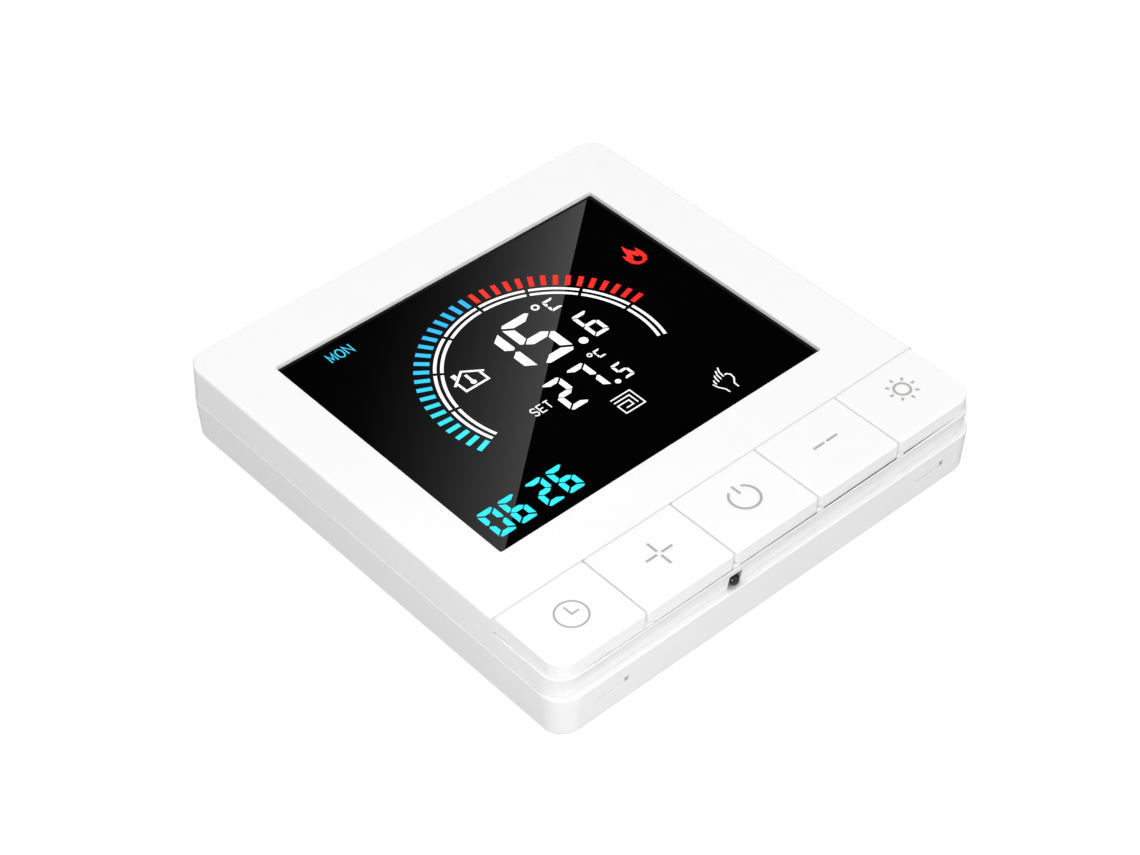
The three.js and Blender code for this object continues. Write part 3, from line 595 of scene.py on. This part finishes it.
# ------------------------------------------------------------------ printed and lit marks
class Marks:
    """Flat marks of one colour between two depths, as thin closed bodies. Shift moves them all in x and z."""

    def __init__(self, front, back, shift=(0, 0)):
        self.bm = bmesh.new()
        self.front, self.back, self.shift = front, back, shift

    def band(self, a, b, closed=False):
        """The strip between two lines of equal count."""
        rows = [[self.bm.verts.new((x, y, z)) for x, z in line]
                for y in (self.front, self.back) for line in (a, b)]
        fa, fb, ba, bb = rows
        count = len(a)
        for i in range(count if closed else count - 1):
            j = (i + 1) % count
            for p, q in ((fa, fb), (bb, ba), (fb, bb), (ba, fa)):
                self.bm.faces.new((p[i], p[j], q[j], q[i]))
        if not closed:
            for i in (0, count - 1):
                self.bm.faces.new((fa[i], fb[i], bb[i], ba[i]))

    def shape(self, points):
        front = [self.bm.verts.new((x, self.front, z)) for x, z in points]
        back = [self.bm.verts.new((x, self.back, z)) for x, z in points]
        self.bm.faces.new(front)
        self.bm.faces.new(back)
        for i in range(len(points)):
            j = (i + 1) % len(points)
            self.bm.faces.new((front[i], front[j], back[j], back[i]))

    def stroke(self, points, width):
        """A line of even width with mitred corners."""
        p = [Vector(q) for q in points]
        count = len(p)
        left, right = [], []
        for i in range(count):
            before = p[i] - p[i - 1] if i > 0 else p[i + 1] - p[i]
            after = p[i + 1] - p[i] if i < count - 1 else p[i] - p[i - 1]
            n0 = Vector((-before.y, before.x)).normalized()
            n1 = Vector((-after.y, after.x)).normalized()
            n = (n0 + n1).normalized()
            reach = width / 2 / max(n.dot(n0), 0.4)
            left.append(tuple(p[i] + n * reach))
            right.append(tuple(p[i] - n * reach))
        self.band(left, right)

    def arc(self, cx, cz, r, start, end, width, steps=24):
        whole = abs(end - start) >= 360
        count = steps if whole else steps + 1
        angles = [math.radians(start + (end - start) * i / steps) for i in range(count)]
        edges = [[(cx + q * math.cos(a), cz + q * math.sin(a)) for a in angles]
                 for q in (r + width / 2, r - width / 2)]
        self.band(*edges, closed=whole)

    def dot(self, cx, cz, r):
        self.shape(circle(cx, cz, r, 20))

    def piece(self, name, material, body, slot):
        bmesh.ops.translate(self.bm, verts=self.bm.verts, vec=(self.shift[0], 0, self.shift[1]))
        return finish(new_object(name, self.bm), material, body, [], smooth=False)


def seven_segment(marks, x, z, w, h, t, on):
    """A digit of mitred bars: t top, b bottom, m middle, and ul, ur, ll, lr for the upright ones."""
    gap = t * 0.15
    c = t * 0.3
    mid = z + h / 2
    half = t / 2
    left, right = x + gap, x + w - gap
    bars = {
        "t": [(left + c, z + h), (right - c, z + h), (right, z + h - c), (x + w - t - gap, z + h - t),
              (x + t + gap, z + h - t), (left, z + h - c)],
        "b": [(left + c, z), (left, z + c), (x + t + gap, z + t), (x + w - t - gap, z + t), (right, z + c),
              (right - c, z)],
        "m": [(left + half * 0.6, mid), (x + t + gap * 0.4, mid + half),
              (x + w - t - gap * 0.4, mid + half), (right - half * 0.6, mid),
              (x + w - t - gap * 0.4, mid - half), (x + t + gap * 0.4, mid - half)],
    }

    def upright(side, end, up):
        """Left or right bar, mitred at the end of the digit and pointed at its middle."""
        out = x if side < 0 else x + w
        inward = -side
        return [(out, end - up * (c + 2 * gap)), (out + inward * t, end - up * (t + 2 * gap)),
                (out + inward * t, mid + up * (half + gap)), (out + inward * t * 0.3, mid + up * gap),
                (out, mid + up * (gap + c * 0.7))]

    bars["ur"] = upright(1, z + h, 1)
    bars["lr"] = upright(1, z, -1)
    bars["ul"] = upright(-1, z + h, 1)
    bars["ll"] = upright(-1, z, -1)
    for bar in on:
        marks.shape(bars[bar])


DIGITS = {
    "0": ["t", "ur", "lr", "b", "ll", "ul"],
    "1": ["ur", "lr"],
    "2": ["t", "ur", "m", "ll", "b"],
    "5": ["t", "ul", "m", "lr", "b"],
    "6": ["t", "ul", "m", "lr", "b", "ll"],
    "7": ["t", "ur", "lr"],
    "C": ["t", "ul", "ll", "b"],
}

LETTERS = {
    "M": [[(0, 0), (0, 1), (0.5, 0.25), (1, 1), (1, 0)]],
    "O": [[(0.3, 0), (0, 0.25), (0, 0.75), (0.3, 1), (0.7, 1), (1, 0.75), (1, 0.25), (0.7, 0), (0.3, 0)]],
    "N": [[(0, 0), (0, 1), (1, 0), (1, 1)]],
    "S": [[(1, 0.85), (0.7, 1), (0.25, 1), (0, 0.75), (0.2, 0.54),
           (0.8, 0.46), (1, 0.25), (0.75, 0), (0.3, 0), (0, 0.15)]],
    "E": [[(1, 1), (0, 1), (0, 0), (1, 0)], [(0.08, 0.5), (0.85, 0.5)]],
    "T": [[(0, 1), (1, 1)], [(0.5, 0.94), (0.5, 0)]],
}


def word(marks, text, x, z, w, h, gap, width):
    """Letters drawn as strokes in boxes of one size."""
    for i, letter in enumerate(text):
        left = x + i * (w + gap)
        for line in LETTERS[letter]:
            marks.stroke([(left + u * w, z + v * h) for u, v in line], width)


def key_marks():
    """Printed symbols, one piece on each key."""
    for name, (low, high) in zip(KEY_NAMES, KEY_SPANS):
        ink = 0.3 if name == "clock" else 0.42
        marks = Marks(at(0.002), at(0.05))
        x = key_middle(low, high) + 0.4
        z = -35.9
        if name == "clock":
            marks.arc(x, z - 0.4, 2.5, 0, 360, ink, 48)
            marks.stroke([(x, z + 1.3), (x, z - 0.4), (x + 1.35, z - 0.4)], ink)
        if name == "plus":
            for dx, dz in ((1, 0), (-1, 0), (0, 1), (0, -1)):
                marks.stroke([(x + dx * 0.45, z + dz * 0.45), (x + dx * 2.55, z + dz * 2.55)], ink)
        if name == "power":
            marks.arc(x, z, 2.4, 120, 420, ink, 40)
            marks.stroke([(x, z + 0.9), (x, z + 2.8)], ink)
        if name == "minus":
            for side in (-1, 1):
                marks.stroke([(x + side * 0.25, z + 0.3), (x + side * 2.5, z + 0.3)], ink)
        if name == "light":
            marks.arc(x, z + 0.6, 1.3, 0, 360, ink, 36)
            for i in range(8):
                a = math.radians(45 * i)
                ray = [(x + r * math.cos(a), z + 0.6 + r * math.sin(a)) for r in (1.95, 2.6)]
                marks.stroke(ray, ink)
        marks.piece("key_symbol_" + name, KEY_INK, name + "_key", "key_white")


# ------------------------------------------------------------------ display
# the lit marks lie in the front face of the glass, moved so that they look as if they were behind it
ART_FRONT = LENS_LOW.y - 0.004
ART_BACK = LENS_LOW.y + 0.02
ART_SHIFT = (-0.4, -0.45)
DIAL_X, DIAL_Z = -0.1, 5.0


def dial(white, cool, warm):
    """Arc of bars, with a segmented double ring inside it."""
    first, step, cool_count = 197.1, 5.5, 20
    for i in range(35):
        a = math.radians(first - step * i)
        ends = [(DIAL_X + r * math.cos(a), DIAL_Z + r * math.sin(a)) for r in (19.5, 21.95)]
        (cool if i < cool_count else warm).stroke(ends, 0.85)
    low, sector, gap, count = -18, 27, 0.9, 8
    for i in range(count):
        start = low + sector * i + (0 if i == 0 else gap)
        end = low + sector * (i + 1) - (0 if i == count - 1 else gap)
        for radius in (18.65, 17.55):
            white.arc(DIAL_X, DIAL_Z, radius, start, end, 0.54, 16)


def room_temperature(white):
    seven_segment(white, -7.5, 6.1, 5.5, 11.5, 1.65, DIGITS["1"])
    seven_segment(white, -0.9, 6.1, 6.1, 11.6, 1.6, DIGITS["5"])
    white.dot(7.1, 6.6, 0.78)
    seven_segment(white, 9.1, 5.9, 3.0, 6.0, 0.7, DIGITS["6"])
    white.arc(6.7, 17.6, 0.55, 0, 360, 0.35)
    seven_segment(white, 8.1, 15.0, 2.2, 2.8, 0.5, DIGITS["C"])


def set_temperature(white):
    word(white, "SET", -9.9, -1.6, 0.92, 1.7, 0.43, 0.22)
    seven_segment(white, -5.0, -4.3, 3.6, 7.3, 1.0, DIGITS["2"])
    seven_segment(white, 0.0, -4.3, 3.5, 7.3, 1.0, DIGITS["7"])
    white.dot(4.65, -4.0, 0.5)
    seven_segment(white, 5.9, -4.4, 2.0, 3.7, 0.48, DIGITS["5"])
    white.arc(5.45, 3.4, 0.36, 0, 360, 0.24)
    seven_segment(white, 6.2, 1.8, 1.4, 1.9, 0.34, DIGITS["C"])


def house(white):
    """House with a chimney and a thermometer in it."""
    x, z, line = -11.8, 9.8, 0.42
    white.stroke([(x - 2.9, z + 1.9), (x, z + 4.0), (x + 2.9, z + 1.9)], line)
    white.stroke([(x - 2.2, z + 2.1), (x - 2.2, z), (x + 2.2, z), (x + 2.2, z + 2.1)], line)
    white.shape([(x - 2.0, z + 2.95), (x - 1.2, z + 3.5), (x - 1.2, z + 4.2), (x - 2.0, z + 4.2)])
    white.dot(x, z + 0.95, 0.5)
    white.stroke([(x, z + 1.4), (x, z + 3.0)], 0.5)


def floor_coil(white):
    """Two pipes wound into a square."""
    line = 0.24
    white.stroke([(0.7, -6.6), (4.6, -6.6), (4.6, -10.2), (0.75, -10.2),
                  (0.75, -8.2), (3.0, -8.2), (3.0, -9.3), (1.6, -9.3)], line)
    white.stroke([(0.7, -7.4), (3.8, -7.4), (3.8, -9.45)], line)


def hand(white):
    """Hand with raised fingers."""
    x, z, line = 16.8, -15.2, 0.24
    white.stroke([(x - 1.1, z - 2.0), (x - 1.15, z - 1.1), (x - 1.75, z - 0.1), (x - 1.95, z + 0.9)], line)
    white.stroke([(x + 0.75, z - 2.0), (x + 0.8, z - 1.0), (x + 1.6, z - 0.1), (x + 1.75, z + 0.8),
                  (x + 1.35, z + 1.35), (x + 0.95, z + 1.3)], line)
    for i, (reach, lean) in enumerate(((1.2, 0.25), (1.85, 0.42), (2.4, 0.6), (2.6, 0.7))):
        foot_x, foot_z = x - 1.45 + 0.68 * i, z + 0.55 + 0.2 * i
        white.stroke([(foot_x, foot_z), (foot_x + lean * 0.25, foot_z + reach * 0.45),
                      (foot_x + lean, foot_z + reach * 0.8)], line)


def flame(red):
    """Heating flame: an outline with three tips round a smaller dark flame."""
    x, z = 27.05, 16.6
    outer = [(0.0, -2.35), (-1.0, -2.1), (-1.65, -1.2), (-1.75, 0.1), (-1.45, 1.2), (-1.2, 0.35),
             (-0.75, 0.95), (-0.45, 2.0), (0.05, 3.1), (0.25, 1.9), (0.75, 0.9), (1.15, 0.5),
             (1.5, 1.5), (1.75, 0.1), (1.65, -1.2), (1.0, -2.1)]
    inner = [(0.0, -1.75), (-0.35, -1.65), (-0.7, -1.3), (-0.8, -0.85), (-0.78, -0.4), (-0.6, -0.55),
             (-0.4, -0.4), (-0.2, 0.1), (0.0, 0.7), (0.12, 0.0), (0.35, -0.45), (0.5, -0.6),
             (0.68, -0.3), (0.8, -0.85), (0.7, -1.3), (0.35, -1.65)]
    red.band([(x + u, z + v) for u, v in outer], [(x + u, z + v) for u, v in inner], closed=True)


def date_and_day(cyan):
    for digit, x in zip("0626", (-30.5, -26.5, -21.2, -17.2)):
        seven_segment(cyan, x, -17.5, 3.2, 5.9, 0.95, DIGITS[digit])
    word(cyan, "MON", -25.1, 28.65, 1.1, 2.0, 0.5, 0.26)


def display_cell():
    """Glass cell with its bonded polariser."""
    cx, cz = (CELL_LOW.x + CELL_HIGH.x) / 2, (CELL_LOW.z + CELL_HIGH.z) / 2
    w, h = CELL_HIGH.x - CELL_LOW.x, CELL_HIGH.z - CELL_LOW.z
    cell = prism(centred(cx, cz, w, h, 0.4, 4), CELL_LOW.y + 0.7, CELL_HIGH.y, "display_cell")
    add(cell, prism(centred(cx, cz, w - 4.2, h - 5.2, 0.3, 4), CELL_LOW.y + 0.005, CELL_LOW.y + 1))
    soften(cell, lambda p: 0.12, 30.0, 2)
    finish(cell, DARK_CELL, "housing", ["lcd_cell"])


def lit_marks():
    white, cyan, red, cool, warm = (Marks(ART_FRONT, ART_BACK, ART_SHIFT) for _ in range(5))
    dial(white, cool, warm)
    for draw in (room_temperature, set_temperature, house, floor_coil, hand):
        draw(white)
    flame(red)
    date_and_day(cyan)
    white.piece("display_white", LIT_WHITE, "housing", "lcd_glass")
    cyan.piece("display_cyan", LIT_CYAN, "housing", "lcd_glass")
    red.piece("display_red", LIT_RED, "housing", "lcd_glass")
    cool.piece("display_cool_bars", LIT_BLUE, "housing", "lcd_glass")
    warm.piece("display_warm_bars", LIT_RED, "housing", "lcd_glass")


def window_surround():
    """Printed surround in the gap behind the glass."""
    surround = Marks(LENS_HIGH.y + 0.01, LENS_HIGH.y + 0.04)
    x, z = (LENS_LOW.x + LENS_HIGH.x) / 2, (LENS_LOW.z + LENS_HIGH.z) / 2
    w, h = LENS_HIGH.x - LENS_LOW.x, LENS_HIGH.z - LENS_LOW.z
    surround.band(*(centred(x, z, w - less, h - less, 0.25) for less in (0.1, 2.6)), closed=True)
    surround.piece("window_surround", MASK_BLACK, "housing", "window_glass")


def window_lens():
    """Cover glass with blackened edges."""
    cx, cz = (LENS_LOW.x + LENS_HIGH.x) / 2, (LENS_LOW.z + LENS_HIGH.z) / 2
    w, h = LENS_HIGH.x - LENS_LOW.x, LENS_HIGH.z - LENS_LOW.z
    margin = 0.28
    outline = centred(cx, cz, w + margin, h + margin, WINDOW_CORNER, 4)
    lens = prism(outline, LENS_LOW.y, LENS_HIGH.y, "cover_glass")
    soften(lens, lambda p: 0.012, 40.0, 2)
    finish(lens, GLASS, "housing", ["window_lens"])
    lens.data.materials.append(MASK_BLACK)
    for face in lens.data.polygons:
        if abs(face.normal.y) < 0.3:
            face.material_index = 1


# ------------------------------------------------------------------ base and rear housing
def rear_base():
    """Frame under the front housing, with pry slots, slots for the wall screws and a cable window."""
    rim, rim_steps = 0.22, 4
    back_r, back_steps, back_inset = 0.9, 8, 0.35
    plate = -2.0
    rings = []
    for i in range(rim_steps + 1):
        a = math.pi / 2 * i / rim_steps
        rings.append((BASE_LOW.y + rim * (1 - math.cos(a)), full_outline(rim * (1 - math.sin(a)))))
    for i in range(back_steps + 1):
        a = math.pi / 2 * (back_steps - i) / back_steps
        rings.append((-back_r * (1 - math.cos(a)), full_outline(back_inset + back_r * (1 - math.sin(a)))))
    base = loft(rings, "base_body")
    cut(base, prism(full_outline(WALL), BASE_LOW.y - 1, plate),
        prism(centred(0, 0, 50.6, 50.6, 4.3), -0.4, 1))
    for side in (-1, 1):
        x = side * PRY_X
        cut(base, box(x - 2.9, x + 2.9, at(9.45), at(10.55), -BEYOND, -TOP + WALL + 1),
            prism(centred(side * 30, 0, 8, 3.8, 1.85, 10), plate - 1, 1))
    for x, z in REAR_POSTS:
        cut(base, rod(x, z, 1.4, plate - 1, 1))
    cut(base, box(-11, 11, plate - 1, 1, -9, -2))
    soften(base, lambda p: 0.12)
    finish(base, SHELL_WHITE, "housing", ["rear_base"])


def rear_housing():
    """Box behind the wall plane, open below and behind the terminals, with vents on top."""
    half, back, wall = REAR_HIGH.x, REAR_HIGH.y, 1.6
    inner = half - wall
    bay_top = -12.0
    r, corner, steps = 0.9, 4, 6
    rings = [(REAR_LOW.y, centred(0, 0, 2 * half, 2 * half, corner))]
    for i in range(steps + 1):
        a = math.pi / 2 * (steps - i) / steps
        less = r * (1 - math.sin(a))
        size = 2 * (half - less)
        rings.append((back - r * (1 - math.cos(a)), centred(0, 0, size, size, corner - less)))
    housing = loft(rings, "box_housing")
    cut(housing, prism(centred(0, 0, 2 * inner, 2 * inner, 2.4, 6), -2, 3.2),
        prism(rounded(-inner, inner, bay_top + wall, inner, 2.4, 6), 0, back - wall),
        box(-inner, inner, 3.1, back + 1, -half - 1, bay_top))
    for x, z in REAR_POSTS:
        add(housing, rod(x, z, 2.5, 3.3, back - 1))
        cut(housing, rod(x, z, 1.25, 0, 11))
    for i in range(-3, 4):
        cut(housing, slot_along_z(i * 5, 13.5, 1.6, 11, inner - 1, half + 1))
    soften(housing, lambda p: 0.18)
    finish(housing, SHELL_WHITE, "housing", ["rear_housing"])


def slot_along_z(cx, cy, w, length, z0, z1):
    """A round-ended slot through the top side."""
    tool = prism(centred(cx, cy, w, length, w / 2 - 0.01, 8), z0, z1)
    tool.data.transform(Matrix(((1, 0, 0, 0), (0, 0, 1, 0), (0, 1, 0, 0), (0, 0, 0, 1))))
    tool.data.flip_normals()
    return tool


def ntc_probe():
    """A dipped bead on two bent leads."""
    low, high = span("ntc_probe")
    x = (low.x + high.x) / 2
    y = at(5.55)
    r, dome, dome_steps = 1.1, 1.3, 12
    tip_z, end = -TOP + 0.1, -38.9
    profile = []
    for i in range(1, dome_steps + 1):
        a = math.pi / 2 * i / dome_steps
        profile.append((r * math.sin(a), tip_z + dome * (1 - math.cos(a))))
    profile += [(r * 0.99, tip_z + 2.6), (r * 0.93, end - 0.6), (r * 0.7, end - 0.1), (0.35, end)]
    steps = 32
    bm = bmesh.new()
    around = [2 * math.pi * k / steps for k in range(steps)]
    rows = [[bm.verts.new((x + q * math.cos(a), y + q * math.sin(a), z)) for a in around] for q, z in profile]
    tip = bm.verts.new((x, y, tip_z))
    for a, b in zip(rows, rows[1:]):
        for k in range(steps):
            m = (k + 1) % steps
            bm.faces.new((a[k], a[m], b[m], b[k]))
    for k in range(steps):
        bm.faces.new((tip, rows[0][(k + 1) % steps], rows[0][k]))
    bm.faces.new(rows[-1])
    probe = new_object("sensor_bead", bm)
    w, bend = 0.22, -35.6
    for side in (-1, 1):
        lead = x + side * 0.5
        add(probe, box(lead - w, lead + w, y - w, y + w, end - 0.5, bend),
            box(lead - w, lead + w, y - w, high.y, bend - 2 * w, bend + 0.01))
    finish(probe, EPOXY, "housing", ["ntc_probe"])


def clamp_screw(number):
    """A screw with a cross slot. Returns its middle."""
    low, high = span("terminal_screw_%d" % number)
    x, z = (low.x + high.x) / 2, (low.z + high.z) / 2
    bottom, top, long, thin = high.y - 0.8, high.y + 1, 1.2, 0.22
    head = rod(x, z, 1.78, high.y - 1.6, high.y)
    head.name = "clamp_screw_%d" % number
    add(head, rod(x, z, 1.2, low.y, high.y - 1.4))
    cut(head, box(x - long, x + long, bottom, top, z - thin, z + thin),
        box(x - thin, x + thin, bottom, top, z - long, z + long))
    soften(head, lambda p: 0.1, 30.0, 2)
    finish(head, STEEL, "housing", ["terminal_screw_%d" % number])
    return x, z


def terminals():
    """A row of screw clamps: screw wells behind, wire openings below, grooves between."""
    low, high = span("terminal_block")
    block = box(low.x, high.x, low.y, high.y, low.z, high.z)
    block.name = "terminal_body"
    for number in range(1, 7):
        x, z = clamp_screw(number)
        cut(block, rod(x, z, 1.95, 9, high.y + 1), box(x - 1.7, x + 1.7, 5.2, 8.6, low.z - 1, z + 2))
        if number > 1:
            edge = x - 3.75
            cut(block, box(edge - 0.25, edge + 0.25, high.y - 0.8, high.y + 1, low.z - 1, high.z + 1),
                box(edge - 0.25, edge + 0.25, low.y - 1, high.y + 1, low.z - 1, low.z + 0.8))
    soften(block, lambda p: 0.12, 30.0, 2)
    finish(block, TERMINAL_GREEN, "housing", ["terminal_block"])


front_shell()
for key_name, (key_low, key_high) in zip(KEY_NAMES, KEY_SPANS):
    key_cap(key_name, key_low, key_high)
key_marks()
display_cell()
lit_marks()
window_surround()
window_lens()
rear_base()
rear_housing()
ntc_probe()
terminals()

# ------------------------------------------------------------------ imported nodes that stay
NODE_MATERIALS = {
    "light_guide": ACRYLIC, "backlight_led_strip": LED_WHITE, "lcd_tray": NATURAL,
    "zebra_connector": BLACK_RUBBER, "keypad_carrier": NATURAL, "control_pcb": BOARD,
    "power_pcb": BOARD, "wifi_module": BRIGHT_CAN,
    "backup_cell": STEEL, "relay": RELAY_BLUE, "safety_capacitor": TAPE_YELLOW, "transformer": TAPE_YELLOW,
    "varistor": DISC_BLUE, "filter_inductor": COPPER_WIRE,
}
for node_name, node in frame["nodes"].items():
    chosen = NODE_MATERIALS.get(node_name, BLACK_PLASTIC)
    if node_name.startswith("plunger_"):
        chosen = NATURAL
    if "screw" in node_name:
        chosen = STEEL
    node.data.materials.clear()
    node.data.materials.append(chosen)


# ------------------------------------------------------------------ studio
def area_light(name, place, target, size, power, glossy=True):
    data = bpy.data.lights.new(name, "AREA")
    data.shape = "SQUARE"
    data.size = size
    data.energy = power
    lamp = bpy.data.objects.new(name, data)
    bpy.context.scene.collection.objects.link(lamp)
    lamp.location = place
    lamp.rotation_mode = "QUATERNION"
    lamp.rotation_quaternion = (Vector(target) - Vector(place)).to_track_quat("-Z", "Y")
    lamp.visible_glossy = glossy
    return lamp


def floor():
    size, height = 6.0, -1.4
    bm = bmesh.new()
    count = 24
    grid = [[bm.verts.new((size * (i / count - 0.5), size * (j / count - 0.5), height))
             for j in range(count + 1)] for i in range(count + 1)]
    for i in range(count):
        for j in range(count):
            bm.faces.new((grid[i][j], grid[i + 1][j], grid[i + 1][j + 1], grid[i][j + 1]))
    obj = new_object("studio_floor", bm)
    obj.data.materials.append(moulded("studio_floor", (0.85, 0.85, 0.85), 0.7, 40.0, 1e-5))


def glare_card(eye):
    """A card before the glass that only reflections see, with its lower edge along the window's diagonal."""
    glass_y = LENS_LOW.y * MM
    mirrored = Vector((eye.x, 2 * glass_y - eye.y, eye.z))
    card_y = -0.62
    left, right = (CELL_LOW.x + 1) * MM, (CELL_HIGH.x - 1) * MM
    low, high = (CELL_LOW.z + 1) * MM, (CELL_HIGH.z - 1) * MM

    def onto_card(x, z):
        through = Vector((x, glass_y, z)) - mirrored
        return mirrored + through * ((card_y - mirrored.y) / through.y)

    low_left, high_right = onto_card(left, low), onto_card(right, high)
    edge = high_right - low_left
    away = onto_card(left, high) - low_left
    away -= edge * (away.dot(edge) / edge.length_squared)
    a, b = low_left - edge * 0.6, high_right + edge * 0.6
    bm = bmesh.new()
    rows = 8
    lines = [[bm.verts.new(p + away * (1.3 * k / rows)) for p in (a, b)] for k in range(rows + 1)]
    for p, q in zip(lines, lines[1:]):
        bm.faces.new((p[0], p[1], q[1], q[0]))
    card = new_object("glare_card", bm)
    m, nodes, links, principled = new_material("glare_card")
    nodes.remove(principled)
    where = nodes.new("ShaderNodeTexCoord").outputs["Object"]
    along = nodes.new("ShaderNodeVectorMath")
    along.operation = "DOT_PRODUCT"
    unit = away.normalized()
    along.inputs[1].default_value = unit
    links.new(where, along.inputs[0])
    fade = nodes.new("ShaderNodeMapRange")
    start = low_left.dot(unit)
    fade.inputs["From Min"].default_value = start
    fade.inputs["From Max"].default_value = start + away.length
    fade.inputs["To Min"].default_value = 1.0
    fade.inputs["To Max"].default_value = 0.0
    links.new(along.outputs["Value"], fade.inputs["Value"])
    steep = nodes.new("ShaderNodeMath")
    steep.operation = "POWER"
    steep.inputs[1].default_value = 3.6
    links.new(fade.outputs["Result"], steep.inputs[0])
    full = nodes.new("ShaderNodeMath")
    full.operation = "MULTIPLY"
    full.inputs[1].default_value = 3.0
    links.new(steep.outputs["Value"], full.inputs[0])
    glow = nodes.new("ShaderNodeEmission")
    links.new(full.outputs["Value"], glow.inputs["Strength"])
    links.new(glow.outputs["Emission"], nodes["Material Output"].inputs["Surface"])
    card.data.materials.append(m)
    card.visible_camera = False
    card.visible_diffuse = False
    card.visible_transmission = False
    card.visible_shadow = False


def world():
    """White behind the object, soft light all round, and nothing for the glass to mirror."""
    w = bpy.data.worlds.new("studio")
    bpy.context.scene.world = w
    w.use_nodes = True
    nodes, links = w.node_tree.nodes, w.node_tree.links
    seen = nodes["Background"]
    seen.inputs["Color"].default_value = (1, 1, 1, 1)
    seen.inputs["Strength"].default_value = 1.05
    fill = nodes.new("ShaderNodeBackground")
    fill.inputs["Color"].default_value = (1, 1, 1, 1)
    sky = nodes.new("ShaderNodeTexCoord").outputs["Generated"]
    side = nodes.new("ShaderNodeVectorMath")
    side.operation = "DOT_PRODUCT"
    side.inputs[1].default_value = Vector((0.45, 0.7, 0.55)).normalized()
    links.new(sky, side.inputs[0])
    shade = nodes.new("ShaderNodeMapRange")
    shade.inputs["From Min"].default_value = -1.0
    shade.inputs["To Min"].default_value = 1.01
    shade.inputs["To Max"].default_value = 0.43
    links.new(side.outputs["Value"], shade.inputs["Value"])
    links.new(shade.outputs["Result"], fill.inputs["Strength"])
    dark = nodes.new("ShaderNodeBackground")
    dark.inputs["Color"].default_value = (0, 0, 0, 1)
    rays = nodes.new("ShaderNodeLightPath")
    first, second = nodes.new("ShaderNodeMixShader"), nodes.new("ShaderNodeMixShader")
    links.new(rays.outputs["Is Glossy Ray"], first.inputs["Fac"])
    links.new(fill.outputs["Background"], first.inputs[1])
    links.new(dark.outputs["Background"], first.inputs[2])
    links.new(rays.outputs["Is Camera Ray"], second.inputs["Fac"])
    links.new(first.outputs["Shader"], second.inputs[1])
    links.new(seen.outputs["Background"], second.inputs[2])
    links.new(second.outputs["Shader"], nodes["World Output"].inputs["Surface"])


def camera():
    data = bpy.data.cameras.new("camera")
    data.lens = 81.956
    data.sensor_width = 36.0
    data.clip_start = 0.01
    cam = bpy.data.objects.new("camera", data)
    bpy.context.scene.collection.objects.link(cam)
    right = Vector((0.74568671, 0.00573267, -0.66627206))
    down = Vector((-0.45776448, 0.73101186, -0.50603689))
    forward = Vector((0.48415184, 0.68234067, 0.54773004))
    turn = Matrix((right, -down, -forward)).transposed()
    eye = Vector((-0.196775, -0.279781, -0.220686))
    cam.matrix_world = Matrix.Translation(eye) @ turn.to_4x4()
    bpy.context.scene.camera = cam
    return eye


eye_point = camera()
floor()
world()
glare_card(eye_point)
area_light("front_soft", (0.15, -1.5, 0.1), (0, 0, 0), 1.2, 5.8, glossy=False)
area_light("left_soft", (-1.2, -0.3, 0.1), (0, 0, 0), 0.8, 0.4, glossy=False)
area_light("low_left", (-0.13, -0.06, -0.13), (-0.03, 0, -0.03), 0.05, 0.05)
area_light("below", (0.2, -0.4, -1.0), (0, 0, 0), 0.8, 3.4, glossy=False)
area_light("behind_soft", (0.5, 0.8, 1.4), (0, 0, 0), 1.0, 2.5)

bpy.context.scene.view_settings.view_transform = "Standard"
bpy.context.scene.view_settings.look = "None"
